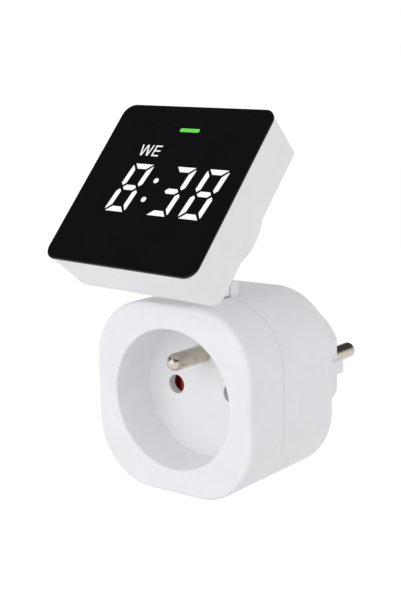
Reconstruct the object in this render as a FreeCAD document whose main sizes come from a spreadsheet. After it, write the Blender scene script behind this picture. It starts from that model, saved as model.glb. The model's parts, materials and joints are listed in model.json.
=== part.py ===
"""Plug-in digital timer with a tilting clock head.

The part frame has +X to the right seen from the socket face, +Y towards the wall and +Z up.
Its origin is the middle of the plug's end face. Most pieces are built lying along that axis:
local x to the right, local y up, local z forward, out of the wall towards the user.
"""
import FreeCAD, Part
import math
import os
import re
import Sketcher
from FreeCAD import Placement, Rotation, Vector

doc = FreeCAD.newDocument("PlugTimer")
sheet = doc.addObject("Spreadsheet::Sheet", "sizes")

SIZES = [
    # Mains pins and the round nose of the plug, which go into a wall outlet with an earth pin
    ("pin_pitch", 19.0),
    ("pin_radius", 2.4),
    ("pin_length", 19.0),
    ("earth_rise", 10.0),
    ("nose_radius", 18.2),
    ("nose_flat", 16.5),
    ("nose_depth", 17.9),
    ("nose_wall", 2.3),
    ("nose_face", 2.5),
    ("nose_round", 0.8),
    ("rib_width", 3.7),
    ("rib_reach", 2.3),
    ("rib_setback", 0.8),
    ("face_hole_radius", 3.1),
    # Rounded square body in two shells
    ("body_width", 52.3),
    ("body_height", 52.0),
    ("body_corner", 17.9),
    ("body_depth", 39.6),
    ("seam_depth", 14.8),
    ("seam_gap", 0.15),
    ("shell_wall", 2.0),
    ("front_round", 1.2),
    ("rear_round", 1.5),
    # Round recess of the socket
    ("recess_radius", 19.2),
    ("recess_floor_radius", 18.9),
    ("recess_depth", 14.2),
    ("recess_wall", 1.8),
    ("floor_wall", 2.6),
    ("rim_round", 0.5),
    ("floor_round", 1.0),
    ("socket_hole_radius", 2.7),
    ("earth_hole_gap", 0.05),
    ("earth_tip_setback", 0.1),
    ("earth_root_radius", 2.7),
    ("earth_flange_radius", 3.6),
    ("earth_flange_thick", 1.2),
    # Screws that hold the two shells, with their posts
    ("screw_side_inset", 9.85),
    ("screw_top_inset", 9.6),
    ("screw_radius", 1.25),
    ("screw_gap", 0.05),
    ("screw_head_radius", 2.4),
    ("screw_head_thick", 1.3),
    ("screw_head_gap", 0.2),
    ("screw_head_sink", 0.1),
    ("cross_long", 2.8),
    ("cross_slot", 0.6),
    ("screw_bite", 6.0),
    ("post_radius", 2.8),
    # Safety shutter behind the socket floor
    ("slide_gap", 0.2),
    ("shutter_thick", 2.8),
    ("shutter_blade", 7.4),
    ("shutter_cover", 3.0),
    ("shutter_bar", 3.0),
    ("shutter_travel", 6.2),
    ("shutter_eye_in", 0.5),
    ("shutter_eye_out", 3.3),
    ("shutter_eye_high", 4.8),
    ("shutter_web", 0.6),
    ("shutter_slope", 1.96),
    ("guide_thick", 1.4),
    ("guide_rail", 2.0),
    ("guide_hole_radius", 3.1),
    ("spring_radius", 1.2),
    ("spring_wire", 0.3),
    ("spring_length", 9.4),
    # Contacts, board and what is on it
    ("contact_wall", 0.7),
    ("contact_gap", 0.05),
    ("contact_slot", 0.8),
    ("contact_foot", 0.8),
    ("board_gap", 0.4),
    ("board_thick", 1.4),
    ("board_margin", 1.6),
    ("pin_root_radius", 2.8),
    ("pin_flange_radius", 3.5),
    ("pin_flange_thick", 1.2),
    ("tail_radius", 1.2),
    ("tail_gap", 0.05),
    ("relay_post_gap", 2.65),
    ("relay_thick", 11.2),
    ("relay_gap", 1.0),
    ("relay_inset", 4.6),
    ("film_cap_thick", 13.0),
    ("film_cap_tall", 10.5),
    ("film_cap_inset", 4.8),
    ("film_post_gap", 0.45),
    ("film_header_gap", 0.7),
    ("can_cap_tall", 11.5),
    ("can_cap_inset", 11.4),
    ("can_post_gap", 0.75),
    ("can_header_gap", 1.6),
    ("case_round", 0.5),
    ("fuse_radius", 1.8),
    ("fuse_cap_wall", 0.18),
    ("fuse_length", 10.0),
    ("fuse_inset", 7.7),
    ("header_width", 7.0),
    ("header_thick", 4.0),
    ("header_tall", 5.0),
    ("header_inset", 4.6),
    # Earth strap, side clips and the sleeve for the outlet's earth pin
    ("strap_width", 6.0),
    ("strap_thick", 0.8),
    ("strap_rise", 14.4),
    ("strap_low", 6.6),
    ("strap_slot_gap", 0.4),
    ("yoke_height", 4.6),
    ("clip_bulge", 0.1),
    ("clip_foot", 1.2),
    ("clip_swell", 4.2),
    ("clip_hold", 6.0),
    ("clip_length", 9.6),
    ("sleeve_wall", 0.6),
    ("sleeve_setback", 0.6),
    ("sleeve_length", 10.4),
    # Hinge on top of the body
    ("hinge_setback", 18.45),
    ("hinge_rise", 2.3),
    ("ear_radius", 1.7),
    ("ear_inner", 6.1),
    ("ear_thick", 2.0),
    ("ear_slit", 0.2),
    ("ear_cap", 0.6),
    ("hinge_pin_radius", 1.0),
    ("hinge_pin_gap", 0.04),
    ("hinge_pin_setback", 0.2),
    ("knuckle_radius", 1.7),
    ("washer_thick", 0.2),
    ("washer_gap", 0.05),
    ("cable_slot_width", 5.6),
    ("cable_slot_long", 1.2),
    # Arm: a foot in the hinge and a dome behind the head
    ("foot_half", 5.8),
    ("foot_lift", 0.2),
    ("foot_front", 7.95),
    ("foot_round", 0.6),
    ("knuckle_lean", 20.0),
    ("knuckle_back", 1.62),
    ("shoulder_rise", 4.7),
    ("shoulder_reach", 1.45),
    ("shoulder_bend", 0.9),
    ("heel_rise", 4.5),
    ("heel_reach", 3.4),
    ("back_rise", 6.8),
    ("back_reach", 4.7),
    ("neck_rise", 10.0),
    ("neck_reach", 4.4),
    ("nape_drop", 8.0),
    ("nape_reach", 4.0),
    ("chin_drop", 12.0),
    ("chin_reach", 3.0),
    ("toe_rise", 4.0),
    ("toe_reach", 1.0),
    ("dome_forward", 8.05),
    ("dome_rise", 21.15),
    ("dome_radius", 19.25),
    ("dome_wall", 2.0),
    ("channel_width", 6.0),
    ("channel_deep", 2.6),
    ("channel_rise", 0.8),
    ("disc_radius", 18.1),
    ("disc_thick", 2.0),
    ("disc_gap", 0.1),
    ("tube_radius", 5.0),
    ("tube_wall", 1.5),
    ("tube_gap", 0.06),
    ("keeper_radius", 7.6),
    ("keeper_thick", 1.2),
    ("wave_thick", 0.5),
    ("wave_inset", 0.6),
    ("play", 0.05),
    ("ribbon_width", 5.0),
    ("ribbon_thick", 0.6),
    ("ribbon_start", 1.2),
    ("ribbon_bend", 13.0),
    ("ribbon_deep", 3.0),
    # Head: tapered housing, black plate and display
    ("head_tilt", 41.5),
    ("head_turn", -2.2),
    ("swivel_offset", 2.5),
    ("head_gap", 0.2),
    ("head_depth", 14.85),
    ("plate_size", 50.7),
    ("plate_corner", 3.6),
    ("plate_thick", 0.6),
    ("plate_chamfer", 0.2),
    ("plate_overhang", 0.2),
    ("head_taper", 0.9),
    ("head_front_corner", 3.4),
    ("head_rear_corner", 2.6),
    ("head_rear_round", 0.5),
    ("head_wall", 1.8),
    ("head_back", 2.0),
    ("diffuser_thick", 0.4),
    ("diffuser_gap", 2.3),
    ("diffuser_high", 25.0),
    ("diffuser_rise", 1.6),
    ("window_gap", 0.02),
    ("module_gap", 1.5),
    ("module_high", 30.0),
    ("module_rise", 4.2),
    ("module_thick", 4.6),
    ("display_board_thick", 1.6),
    ("display_board_gap", 0.4),
    ("digit_width", 7.16),
    ("digit_high", 15.24),
    ("digit_stroke", 1.6),
    ("digit_split", 1.08),
    ("digit_slant", 7.85),
    ("digit_left", -13.39),
    ("digit_base", -9.26),
    ("colon_step", 14.34),
    ("digit_step", 10.55),
    ("colon_side", -1.98),
    ("colon_low", -4.83),
    ("colon_high", 5.98),
    ("colon_radius", 0.8),
    ("day_left", -12.33),
    ("day_base", 8.64),
    ("day_high", 3.51),
    ("day_stroke", 0.45),
    ("day_inset", 0.4),
    ("day_step", 1.03),
    ("day_stem", 5.18),
    ("day_lean", 0.34),
    ("day_dip", -0.25),
    ("day_arm", 2.19),
    ("bar_side", 1.12),
    ("bar_rise", 17.49),
    ("bar_width", 6.6),
    ("bar_high", 1.2),
    ("bar_round", 0.55),
    ("bar_flange", 1.0),
    # Buttons in the head's upper edge
    ("button_pitch", 8.0),
    ("button_radius", 1.6),
    ("button_gap", 0.08),
    ("button_round", 0.3),
    ("button_flange", 0.35),
    ("button_flange_thick", 0.9),
    ("button_proud", 0.8),
    ("button_travel", 0.5),
    ("button_depth", 9.95),
    ("switch_size", 3.4),
    ("switch_clear", 0.15),
    # Other pieces on the display board
    ("chip_size", 7.0),
    ("chip_thick", 1.2),
    ("chip_gap", 1.9),
    ("chip_rise", 5.4),
    ("cell_radius", 6.2),
    ("cell_thick", 2.0),
    ("cell_case", 0.8),
    ("cell_gap", 1.4),
    ("cell_rise", 5.9),
    ("plug_block", 7.6),
    ("plug_block_thick", 1.4),
    ("board_screw_side", 5.9),
    ("board_screw_low", 7.1),
    ("board_post_radius", 2.2),
    ("board_screw_radius", 0.9),
    ("board_screw_head", 1.7),
    ("board_screw_thick", 1.0),
]
BUTTONS = 4
# How far a cutting tool runs past the face that it opens, and the least that a pocket removes
PAST = 1.0
LEAST_CUT = 1.0

for row, (alias, value) in enumerate(SIZES, start=1):
    sheet.set(f"A{row}", alias.replace("_", " "))
    sheet.set(f"B{row}", str(value))
    sheet.setAlias(f"B{row}", alias)
doc.recompute()
ALIASES = {alias for alias, value in SIZES}


def size(alias):
    """A driving dimension, read from the sheet."""
    return float(sheet.get(alias))


def formula(text):
    """Turn plain size names into cells of the sheet."""
    return re.sub(r"[a-z][a-z_]*", lambda word: as_cell(word.group()), str(text))


def as_cell(word):
    return "sizes." + word if word in ALIASES else word


def bind(item, **formulas):
    """Bind properties to formulas of the sizes; two underscores stand for a dot."""
    for name, text in formulas.items():
        item.setExpression(name.replace("__", "."), formula(text))
    return item


# Places along the plug's axis, counted from the end of its nose towards the user
WALL_PLANE = "nose_depth"
FACE = "(nose_depth + body_depth)"
SEAM = "(nose_depth + body_depth - seam_depth)"
FLOOR = "(nose_depth + body_depth - recess_depth)"
FLOOR_BACK = "(nose_depth + body_depth - recess_depth - floor_wall)"
SHUTTER_FRONT = "(nose_depth + body_depth - recess_depth - floor_wall - slide_gap)"
SHUTTER_BACK = "(nose_depth + body_depth - recess_depth - floor_wall - slide_gap - shutter_thick)"
GUIDE_FRONT = "(nose_depth + body_depth - recess_depth - floor_wall - 2 * slide_gap - shutter_thick)"
GUIDE_BACK = f"({GUIDE_FRONT} - guide_thick)"
RAIL_IN = "(pin_pitch / 2 + shutter_blade / 2 + slide_gap)"
RAIL_OUT = "(pin_pitch / 2 + shutter_blade / 2 + slide_gap + guide_rail)"
RAIL_LOW = "(-shutter_cover - shutter_bar - shutter_travel - slide_gap)"
BOARD_BACK = "(nose_depth + shell_wall + board_gap)"
BOARD_FRONT = "(nose_depth + shell_wall + board_gap + board_thick)"
HINGE_Z = "(nose_depth + body_depth - hinge_setback)"
HINGE_Y = "(body_height / 2 + hinge_rise)"
EAR_TIP = "(ear_inner + ear_thick)"
SCREW_X = "(body_width / 2 - screw_side_inset)"
SCREW_Y = "(body_height / 2 - screw_top_inset)"
POST_SIDE = "(body_width / 2 - screw_side_inset - post_radius)"
# Places in the head, counted back from the front of its plate
PLATE_BACK = "(0 - plate_thick)"
MODULE_FRONT = "(0 - plate_thick - diffuser_thick)"
BOARD_TOP = "(0 - plate_thick - diffuser_thick - module_thick)"
BOARD_UNDER = "(0 - plate_thick - diffuser_thick - module_thick - display_board_thick)"
HEAD_INSIDE = "(0 - head_depth + head_back)"
# Width of the square housing behind the plate and at its rear face
HEAD_FRONT = "plate_size - 2 * plate_overhang"
HEAD_REAR = "plate_size - 2 * plate_overhang - 2 * head_taper"
BOARD_SCREW_X = "(plate_size / 2 - board_screw_side)"
BOARD_SCREW_Y = "(plate_size / 2 - board_screw_low)"

face_z = size("nose_depth") + size("body_depth")
hinge_z = face_z - size("hinge_setback")
hinge_y = size("body_height") / 2 + size("hinge_rise")
dome_z = hinge_z + size("dome_forward")
dome_y = hinge_y + size("dome_rise")
shutter_z = face_z - size("recess_depth") - size("floor_wall") - size("slide_gap")
guide_back_z = shutter_z - size("shutter_thick") - size("slide_gap") - size("guide_thick")
channel_z = hinge_z + size("knuckle_radius") + size("channel_rise")

# Local frames: the plug's axis, the swivel axis of the dome, and the head with its plate at z = 0
X_AXIS = Vector(1, 0, 0)
Y_AXIS = Vector(0, 1, 0)
Z_AXIS = Vector(0, 0, 1)
BASE = Placement(Vector(), Rotation(X_AXIS, 90))
TO_DOME = Placement(Vector(0, dome_y, dome_z), Rotation(X_AXIS, -size("head_tilt")))
SWIVEL = BASE * TO_DOME
TURN = Placement(Vector(), Rotation(Z_AXIS, size("head_turn")))
head_lift = size("head_depth") + size("head_gap")
PLATE_SHIFT = Placement(Vector(0, -size("swivel_offset"), head_lift), Rotation())
HEAD = SWIVEL * TURN * PLATE_SHIFT

NODES = []


def node(item, label, frame):
    """Name a finished sub-part, set it in its frame and list it for export."""
    doc.recompute()
    bound = [path for path, text in item.ExpressionEngine if "Placement" in path]
    for path in bound:
        item.setExpression(path.lstrip("."), None)
    item.Label = label
    item.Placement = frame * item.Placement if bound else frame
    NODES.append(item)
    return item


def box(name, low, high):
    """Block between two corners, each given by three formulas."""
    item = doc.addObject("Part::Box", name)
    bind(item, Length=f"({high[0]}) - ({low[0]})")
    bind(item, Width=f"({high[1]}) - ({low[1]})")
    bind(item, Height=f"({high[2]}) - ({low[2]})")
    bind(item, Placement__Base__x=low[0], Placement__Base__y=low[1], Placement__Base__z=low[2])
    return item


def rod(name, radius, start, end, centre=("0", "0"), along="z"):
    """Cylinder along z, y or x from start to end; centre holds the other two coordinates."""
    turns = {"z": Rotation(), "y": Rotation(X_AXIS, -90), "x": Rotation(Y_AXIS, 90)}
    item = doc.addObject("Part::Cylinder", name)
    item.Placement = Placement(Vector(), turns[along])
    bind(item, Radius=radius, Height=f"({end}) - ({start})")
    others = [axis for axis in "xyz" if axis != along]
    place = {others[0]: centre[0], others[1]: centre[1], along: start}
    bind(item, Placement__Base__x=place["x"], Placement__Base__y=place["y"], Placement__Base__z=place["z"])
    return item


def fuse(name, *pieces):
    item = doc.addObject("Part::MultiFuse", name)
    item.Shapes = list(pieces)
    item.Refine = True
    return item


def cut(name, base, *tools):
    item = doc.addObject("Part::Cut", name)
    item.Base = base
    item.Tool = tools[0] if len(tools) == 1 else fuse(name + "Tools", *tools)
    item.Refine = True
    return item


def common(name, first, second):
    item = doc.addObject("Part::MultiCommon", name)
    item.Shapes = [first, second]
    return item


def shaped(name, shape):
    """A shape made from the sizes with plain geometry functions."""
    item = doc.addObject("Part::Feature", name)
    item.Shape = shape
    return item


def round_off(name, base, radius, wanted):
    """Fillet the edges of a solid that a test picks out."""
    doc.recompute()
    item = doc.addObject("Part::Fillet", name)
    item.Base = base
    picked = [number for number, edge in enumerate(base.Shape.Edges, start=1) if wanted(edge)]
    item.Edges = [(number, radius, radius) for number in picked]
    return item


def bevel(name, base, depth, wanted):
    """Chamfer the edges of a solid that a test picks out."""
    doc.recompute()
    item = doc.addObject("Part::Chamfer", name)
    item.Base = base
    picked = [number for number, edge in enumerate(base.Shape.Edges, start=1) if wanted(edge)]
    item.Edges = [(number, depth, depth) for number in picked]
    return item


def near(first, second, slack=0.02):
    return abs(first - second) < slack


def edge_at_z(z):
    """Test for an edge that lies at one height along z."""
    return lambda edge: near(edge.BoundBox.ZMin, z) and near(edge.BoundBox.ZMax, z)


def circle_at(radius, z):
    """Test for a round edge of one radius at one height."""

    def wanted(edge):
        return edge_at_z(z)(edge) and hasattr(edge.Curve, "Radius") and near(edge.Curve.Radius, radius)

    return wanted


def xy_sketch(body, name, z):
    """Sketch parallel to the body's XY plane at a given height."""
    plane = [item for item in body.Origin.OriginFeatures if item.Role == "XY_Plane"][0]
    sketch = body.newObject("Sketcher::SketchObject", name)
    sketch.AttachmentSupport = [(plane, "")]
    sketch.MapMode = "FlatFace"
    bind(sketch, AttachmentOffset__Base__z=z)
    return sketch


def rounded_rectangle(sketch, width, high, corner):
    """Centred rectangle with round corners, fully constrained."""
    half_x = size_of(width) / 2
    half_y = size_of(high) / 2
    bow = size_of(corner)
    inner_x = half_x - bow
    inner_y = half_y - bow
    corners = [(inner_x, inner_y, 0), (-inner_x, inner_y, 90),
               (-inner_x, -inner_y, 180), (inner_x, -inner_y, 270)]
    arcs = []
    for x, y, angle in corners:
        circle = Part.Circle(Vector(x, y, 0), Z_AXIS, bow)
        quarter = Part.ArcOfCircle(circle, math.radians(angle), math.radians(angle + 90))
        arcs.append(sketch.addGeometry(quarter))
    lines = []
    for first, second in zip(arcs, arcs[1:] + arcs[:1]):
        start = sketch.getPoint(first, 2)
        end = sketch.getPoint(second, 1)
        lines.append(sketch.addGeometry(Part.LineSegment(start, end)))
    for number, line in enumerate(lines):
        following = arcs[(number + 1) % 4]
        sketch.addConstraint(Sketcher.Constraint("Tangent", arcs[number], 2, line, 1))
        sketch.addConstraint(Sketcher.Constraint("Tangent", line, 2, following, 1))
    for line in lines[0::2]:
        sketch.addConstraint(Sketcher.Constraint("Horizontal", line))
    for line in lines[1::2]:
        sketch.addConstraint(Sketcher.Constraint("Vertical", line))
    for arc in arcs[1:]:
        sketch.addConstraint(Sketcher.Constraint("Equal", arcs[0], arc))
    sketch.addConstraint(Sketcher.Constraint("Symmetric", arcs[0], 3, arcs[2], 3, -1, 1))
    named(sketch, Sketcher.Constraint("Radius", arcs[0], bow), "corner", corner)
    across = Sketcher.Constraint("DistanceX", arcs[2], 3, arcs[0], 3, 2 * inner_x)
    named(sketch, across, "across", f"{width} - 2 * ({corner})")
    upright = Sketcher.Constraint("DistanceY", arcs[2], 3, arcs[0], 3, 2 * inner_y)
    named(sketch, upright, "upright", f"{high} - 2 * ({corner})")
    return sketch


def named(sketch, constraint, name, text):
    number = sketch.addConstraint(constraint)
    sketch.renameConstraint(number, name)
    sketch.setExpression("Constraints." + name, formula(text))


def size_of(text):
    """Value of a formula made of size names, numbers and plus, minus or times."""
    total = 0.0
    for sign, term in re.findall(r"([+-]?)\s*([^+-]+)", str(text)):
        value = 1.0
        for factor in term.split("*"):
            word = factor.strip(" ()")
            value *= size(word) if word in ALIASES else float(word)
        total += -value if sign == "-" else value
    return total


def pad(body, name, sketch, length):
    item = body.newObject("PartDesign::Pad", name)
    item.Profile = sketch
    bind(item, Length=length)
    return item


def pocket(body, name, sketch, length, upwards):
    """Pocket from a sketch, cutting towards +z when upwards is set, and checked by volume."""
    doc.recompute()
    before = body.Shape.Volume
    item = body.newObject("PartDesign::Pocket", name)
    item.Profile = sketch
    item.Reversed = upwards
    bind(item, Length=length)
    doc.recompute()
    if body.Shape.Volume > before - LEAST_CUT:
        raise RuntimeError(name + " removes nothing")
    return item


def soften(body, name, base, radius, wanted):
    """Fillet inside a body, its radius bound to a size."""
    doc.recompute()
    item = body.newObject("PartDesign::Fillet", name)
    picked = [f"Edge{number}" for number, edge in enumerate(base.Shape.Edges, start=1) if wanted(edge)]
    item.Base = (base, picked)
    bind(item, Radius=radius)
    return item


def ribbon_face(points, thickness):
    """Face of a bent strip of even thickness along a polyline in the yz plane."""
    left = []
    right = []
    for number, point in enumerate(points):
        before = points[max(number - 1, 0)]
        after = points[min(number + 1, len(points) - 1)]
        first = (point - before).normalize() if number else (after - point).normalize()
        second = (after - point).normalize() if number < len(points) - 1 else first
        across = Vector(0, -(first.z + second.z), first.y + second.y).normalize()
        reach = thickness / 2 / Vector(0, -first.z, first.y).dot(across)
        left.append(point + across * reach)
        right.append(point - across * reach)
    outline = left + right[::-1]
    return Part.Face(Part.makePolygon(outline + outline[:1]))


def bent_strip(points, thickness, width):
    """Bent sheet of one width across x along a polyline of (y, z) points."""
    face = ribbon_face([Vector(-width / 2, y, z) for y, z in points], thickness)
    return face.extrude(Vector(width, 0, 0))


def screw_places():
    """Centres of the four body screws, set in from the body's sides."""
    return [(a + SCREW_X, b + SCREW_Y) for a, b in (("-", "-"), ("", "-"), ("", ""), ("-", ""))]


def body_outline(body, name, z, inset):
    """Sketch of the body's rounded square, drawn in by an inset."""
    sketch = xy_sketch(body, name, z)
    corner = f"body_corner - {inset}"
    return rounded_rectangle(sketch, f"body_width - 2 * {inset}", f"body_height - 2 * {inset}", corner)


def make_front_shell():
    body = doc.addObject("PartDesign::Body", "FrontShell")
    block = pad(body, "FrontBlock", body_outline(body, "FrontOutline", SEAM, "0"), "seam_depth")
    soften(body, "FrontEdge", block, "front_round", edge_at_z(face_z))
    inside = body_outline(body, "FrontInside", SEAM, "shell_wall")
    pocket(body, "FrontHollow", inside, "seam_depth - shell_wall", True)
    cup = rod("RecessCup", "recess_radius + recess_wall", FLOOR_BACK, f"{FACE} - shell_wall / 2")
    posts = []
    for number, centre in enumerate(screw_places(), start=1):
        posts.append(rod(f"FrontPost{number}", "post_radius", SEAM, f"{FACE} - shell_wall / 2", centre))
    blank = fuse("FrontBlank", body, cup, *posts)
    recess = doc.addObject("Part::Cone", "Recess")
    bind(recess, Radius1="recess_floor_radius", Radius2="recess_radius", Height="recess_depth")
    bind(recess, Placement__Base__z=FLOOR)
    earth_hole = "earth_root_radius + earth_hole_gap"
    tools = [recess, rod("EarthHole", earth_hole, FLOOR_BACK, FLOOR, ("0", "earth_rise"))]
    for side in ("-", ""):
        place = (f"{side}pin_pitch / 2", "0")
        tools.append(rod("SocketHole", "socket_hole_radius", FLOOR_BACK, FLOOR, place))
    bore_end = f"{SEAM} + screw_bite + screw_gap"
    for centre in screw_places():
        tools.append(rod("ScrewBore", "screw_radius + screw_gap", FLOOR_BACK, bore_end, centre))
    shell = cut("FrontCut", blank, *tools)
    floor_z = face_z - size("recess_depth")
    rim = round_off("RecessRim", shell, size("rim_round"), circle_at(size("recess_radius"), face_z))
    edge = round_off("RecessFoot", rim, size("floor_round"), circle_at(size("recess_floor_radius"), floor_z))
    return node(edge, "front_shell", BASE)


def make_rear_shell():
    body = doc.addObject("PartDesign::Body", "RearShell")
    outline = body_outline(body, "RearOutline", WALL_PLANE, "0")
    block = pad(body, "RearBlock", outline, "body_depth - seam_depth - seam_gap")
    soften(body, "RearEdge", block, "rear_round", edge_at_z(size("nose_depth")))
    inside = body_outline(body, "RearInside", f"{WALL_PLANE} + shell_wall", "shell_wall")
    pocket(body, "RearHollow", inside, "body_depth - seam_depth - seam_gap - shell_wall", True)
    nose_end = f"{WALL_PLANE} + shell_wall / 2"
    round_nose = rod("RoundNose", "nose_radius", "0", nose_end)
    slab_high = ("nose_flat", "nose_radius", nose_end)
    slab = box("NoseSlab", ("-nose_flat", "-nose_radius", "0"), slab_high)
    nose = round_off("NoseEdge", common("Nose", round_nose, slab), size("nose_round"), edge_at_z(0))
    ribs = []
    outer = "nose_flat + rib_reach"
    inner = "nose_flat - nose_wall / 2"
    for low, high in ((f"-({outer})", f"-({inner})"), (inner, outer)):
        rib_high = (high, "rib_width / 2", nose_end)
        ribs.append(box("GuideRib", (low, "-rib_width / 2", "rib_setback"), rib_high))
    ears = []
    for start, end in (("-" + EAR_TIP, "-ear_inner"), ("ear_inner", EAR_TIP)):
        barrel = rod("EarBarrel", "ear_radius", start, end, (HINGE_Y, HINGE_Z), "x")
        low = (start, "body_height / 2 - shell_wall / 2", f"{HINGE_Z} - ear_radius")
        root = box("EarRoot", low, (end, HINGE_Y, f"{HINGE_Z} + ear_radius"))
        ears.append(fuse("Ear", barrel, root))
    posts = []
    for centre in screw_places():
        posts.append(rod("RearPost", "post_radius", nose_end, f"{SEAM} - seam_gap", centre))
    blank = fuse("RearBlank", body, nose, *ribs, *ears, *posts)
    hollow_end = f"{WALL_PLANE} + shell_wall"
    hollow_round = rod("NoseHollow", "nose_radius - nose_wall", "nose_face", hollow_end)
    hollow_slab = box("HollowSlab", ("-nose_flat + nose_wall", "-nose_radius", "nose_face"),
                      ("nose_flat - nose_wall", "nose_radius", hollow_end))
    tools = [common("NoseInside", hollow_round, hollow_slab)]
    for side in ("-", ""):
        place = (f"{side}pin_pitch / 2", "0")
        tools.append(rod("PinHole", "pin_root_radius + contact_gap", "0", "nose_face", place))
    tools.append(rod("FaceHole", "face_hole_radius", "0", "nose_face", ("0", "earth_rise")))
    half = "(strap_width / 2 + slide_gap)"
    inner = "nose_radius - 2 * nose_wall"
    outer = "nose_radius + nose_wall"
    for low, high in ((inner, outer), (f"-({outer})", f"-({inner})")):
        tools.append(box("ClipWindow", (f"-{half}", low, "yoke_height + strap_thick"),
                         (half, high, "yoke_height + clip_length + strap_thick")))
    cup_room = "recess_radius + recess_wall + slide_gap"
    tools.append(rod("CupRoom", cup_room, f"{FLOOR_BACK} - slide_gap", SEAM))
    room_low = (f"-{RAIL_OUT} - slide_gap", f"{RAIL_LOW} - slide_gap", f"{GUIDE_BACK} - slide_gap")
    tools.append(box("GuideRoom", room_low, (f"{RAIL_OUT} + slide_gap", "shutter_cover", SEAM)))
    for centre in screw_places():
        tools.append(rod("ScrewWay", "screw_radius + screw_gap", WALL_PLANE, SEAM, centre))
        head = "screw_head_radius + screw_head_gap"
        tools.append(rod("ScrewSink", head, WALL_PLANE, f"{WALL_PLANE} + screw_head_thick", centre))
    hinge_hole = "hinge_pin_radius + hinge_pin_gap / 2"
    hole_end = f"{EAR_TIP} - ear_cap"
    tools.append(rod("HingeHole", hinge_hole, "-" + EAR_TIP, hole_end, (HINGE_Y, HINGE_Z), "x"))
    slot_z = f"{HINGE_Z} + ear_radius"
    low = ("-cable_slot_width / 2", "body_height / 2 - 2 * shell_wall",
           f"{slot_z} - cable_slot_long / 2")
    high = ("cable_slot_width / 2", "body_height / 2 + shell_wall",
            f"{slot_z} + cable_slot_long / 2")
    tools.append(box("CableSlot", low, high))
    return node(cut("RearCut", blank, *tools), "rear_shell", BASE)


def make_screws():
    """Screws with a cross recess, their heads sunk just under the rear face."""
    under = f"{WALL_PLANE} + screw_head_thick"
    top = f"{WALL_PLANE} + screw_head_sink"
    for number, (x, y) in enumerate(screw_places(), start=1):
        head = rod("ScrewHead", "screw_head_radius", top, under, (x, y))
        shank_start = f"{under} - screw_head_sink"
        shank = rod("ScrewShank", "screw_radius", shank_start, f"{SEAM} + screw_bite", (x, y))
        recess = []
        slot_end = f"{top} + screw_head_thick / 2"
        for wide, high in (("cross_long / 2", "cross_slot / 2"), ("cross_slot / 2", "cross_long / 2")):
            low = (f"{x} - {wide}", f"{y} - {high}", WALL_PLANE)
            recess.append(box("ScrewCross", low, (f"{x} + {wide}", f"{y} + {high}", slot_end)))
        node(cut("Screw", fuse("ScrewBlank", head, shank), *recess), f"body_screw_{number}", BASE)


def make_front_earth_pin():
    """Round pin with a wider root in the recess floor and a flange behind it."""
    tip = f"{FACE} - earth_tip_setback - pin_radius"
    shank = rod("EarthShank", "pin_radius", FLOOR_BACK, tip, ("0", "earth_rise"))
    root = rod("EarthRoot", "earth_root_radius", FLOOR_BACK, FLOOR, ("0", "earth_rise"))
    dome = doc.addObject("Part::Sphere", "EarthTip")
    bind(dome, Radius="pin_radius", Placement__Base__y="earth_rise", Placement__Base__z=tip)
    flange_end = f"{FLOOR_BACK} - earth_flange_thick"
    flange = rod("EarthFlange", "earth_flange_radius", flange_end, FLOOR_BACK, ("0", "earth_rise"))
    tail = rod("EarthTail", "pin_radius / 2", f"{flange_end} - strap_thick", flange_end, ("0", "earth_rise"))
    return node(fuse("EarthPin", shank, root, dome, flange, tail), "front_earth_pin", BASE)


def make_plug_pins():
    """Round pins with wider roots in the nose's face and flanges behind it."""
    for side, label in (("-", "line_pin"), ("", "neutral_pin")):
        centre = (f"{side}pin_pitch / 2", "0")
        shank = rod("PinShank", "pin_radius", "-pin_length + pin_radius", "nose_face", centre)
        tip = doc.addObject("Part::Sphere", "PinTip")
        bind(tip, Radius="pin_radius", Placement__Base__x=centre[0])
        bind(tip, Placement__Base__z="-pin_length + pin_radius")
        root = rod("PinRoot", "pin_root_radius", "0", "nose_face", centre)
        flange_end = "nose_face + pin_flange_thick"
        flange = rod("PinFlange", "pin_flange_radius", "nose_face", flange_end, centre)
        tail = rod("PinTail", "tail_radius", flange_end, BOARD_FRONT, centre)
        node(fuse("Pin", shank, tip, root, flange, tail), label, BASE)


def make_contacts():
    """Slotted sleeves on the board that grip the pins of whatever is plugged in."""
    for side, label in (("-", "line_contact"), ("", "neutral_contact")):
        across = f"{side}pin_pitch / 2"
        foot_top = f"{BOARD_FRONT} + contact_foot"
        sleeve_top = f"{GUIDE_BACK} - slide_gap"
        sleeve = rod("Sleeve", "pin_radius + contact_wall", BOARD_FRONT, sleeve_top, (across, "0"))
        foot = rod("SleeveFoot", "pin_radius + 2 * contact_wall", BOARD_FRONT, foot_top, (across, "0"))
        bore = rod("SleeveBore", "pin_radius + contact_gap", foot_top, GUIDE_BACK, (across, "0"))
        slots = []
        for wide, high in (("contact_slot / 2", "2 * pin_radius"), ("2 * pin_radius", "contact_slot / 2")):
            low = (f"{across} - {wide}", f"-{high}", f"{BOARD_FRONT} + 3 * contact_foot")
            slots.append(box("SleeveSlot", low, (f"{across} + {wide}", high, GUIDE_BACK)))
        node(cut("Contact", fuse("ContactBlank", sleeve, foot), bore, *slots), label, BASE)


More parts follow.
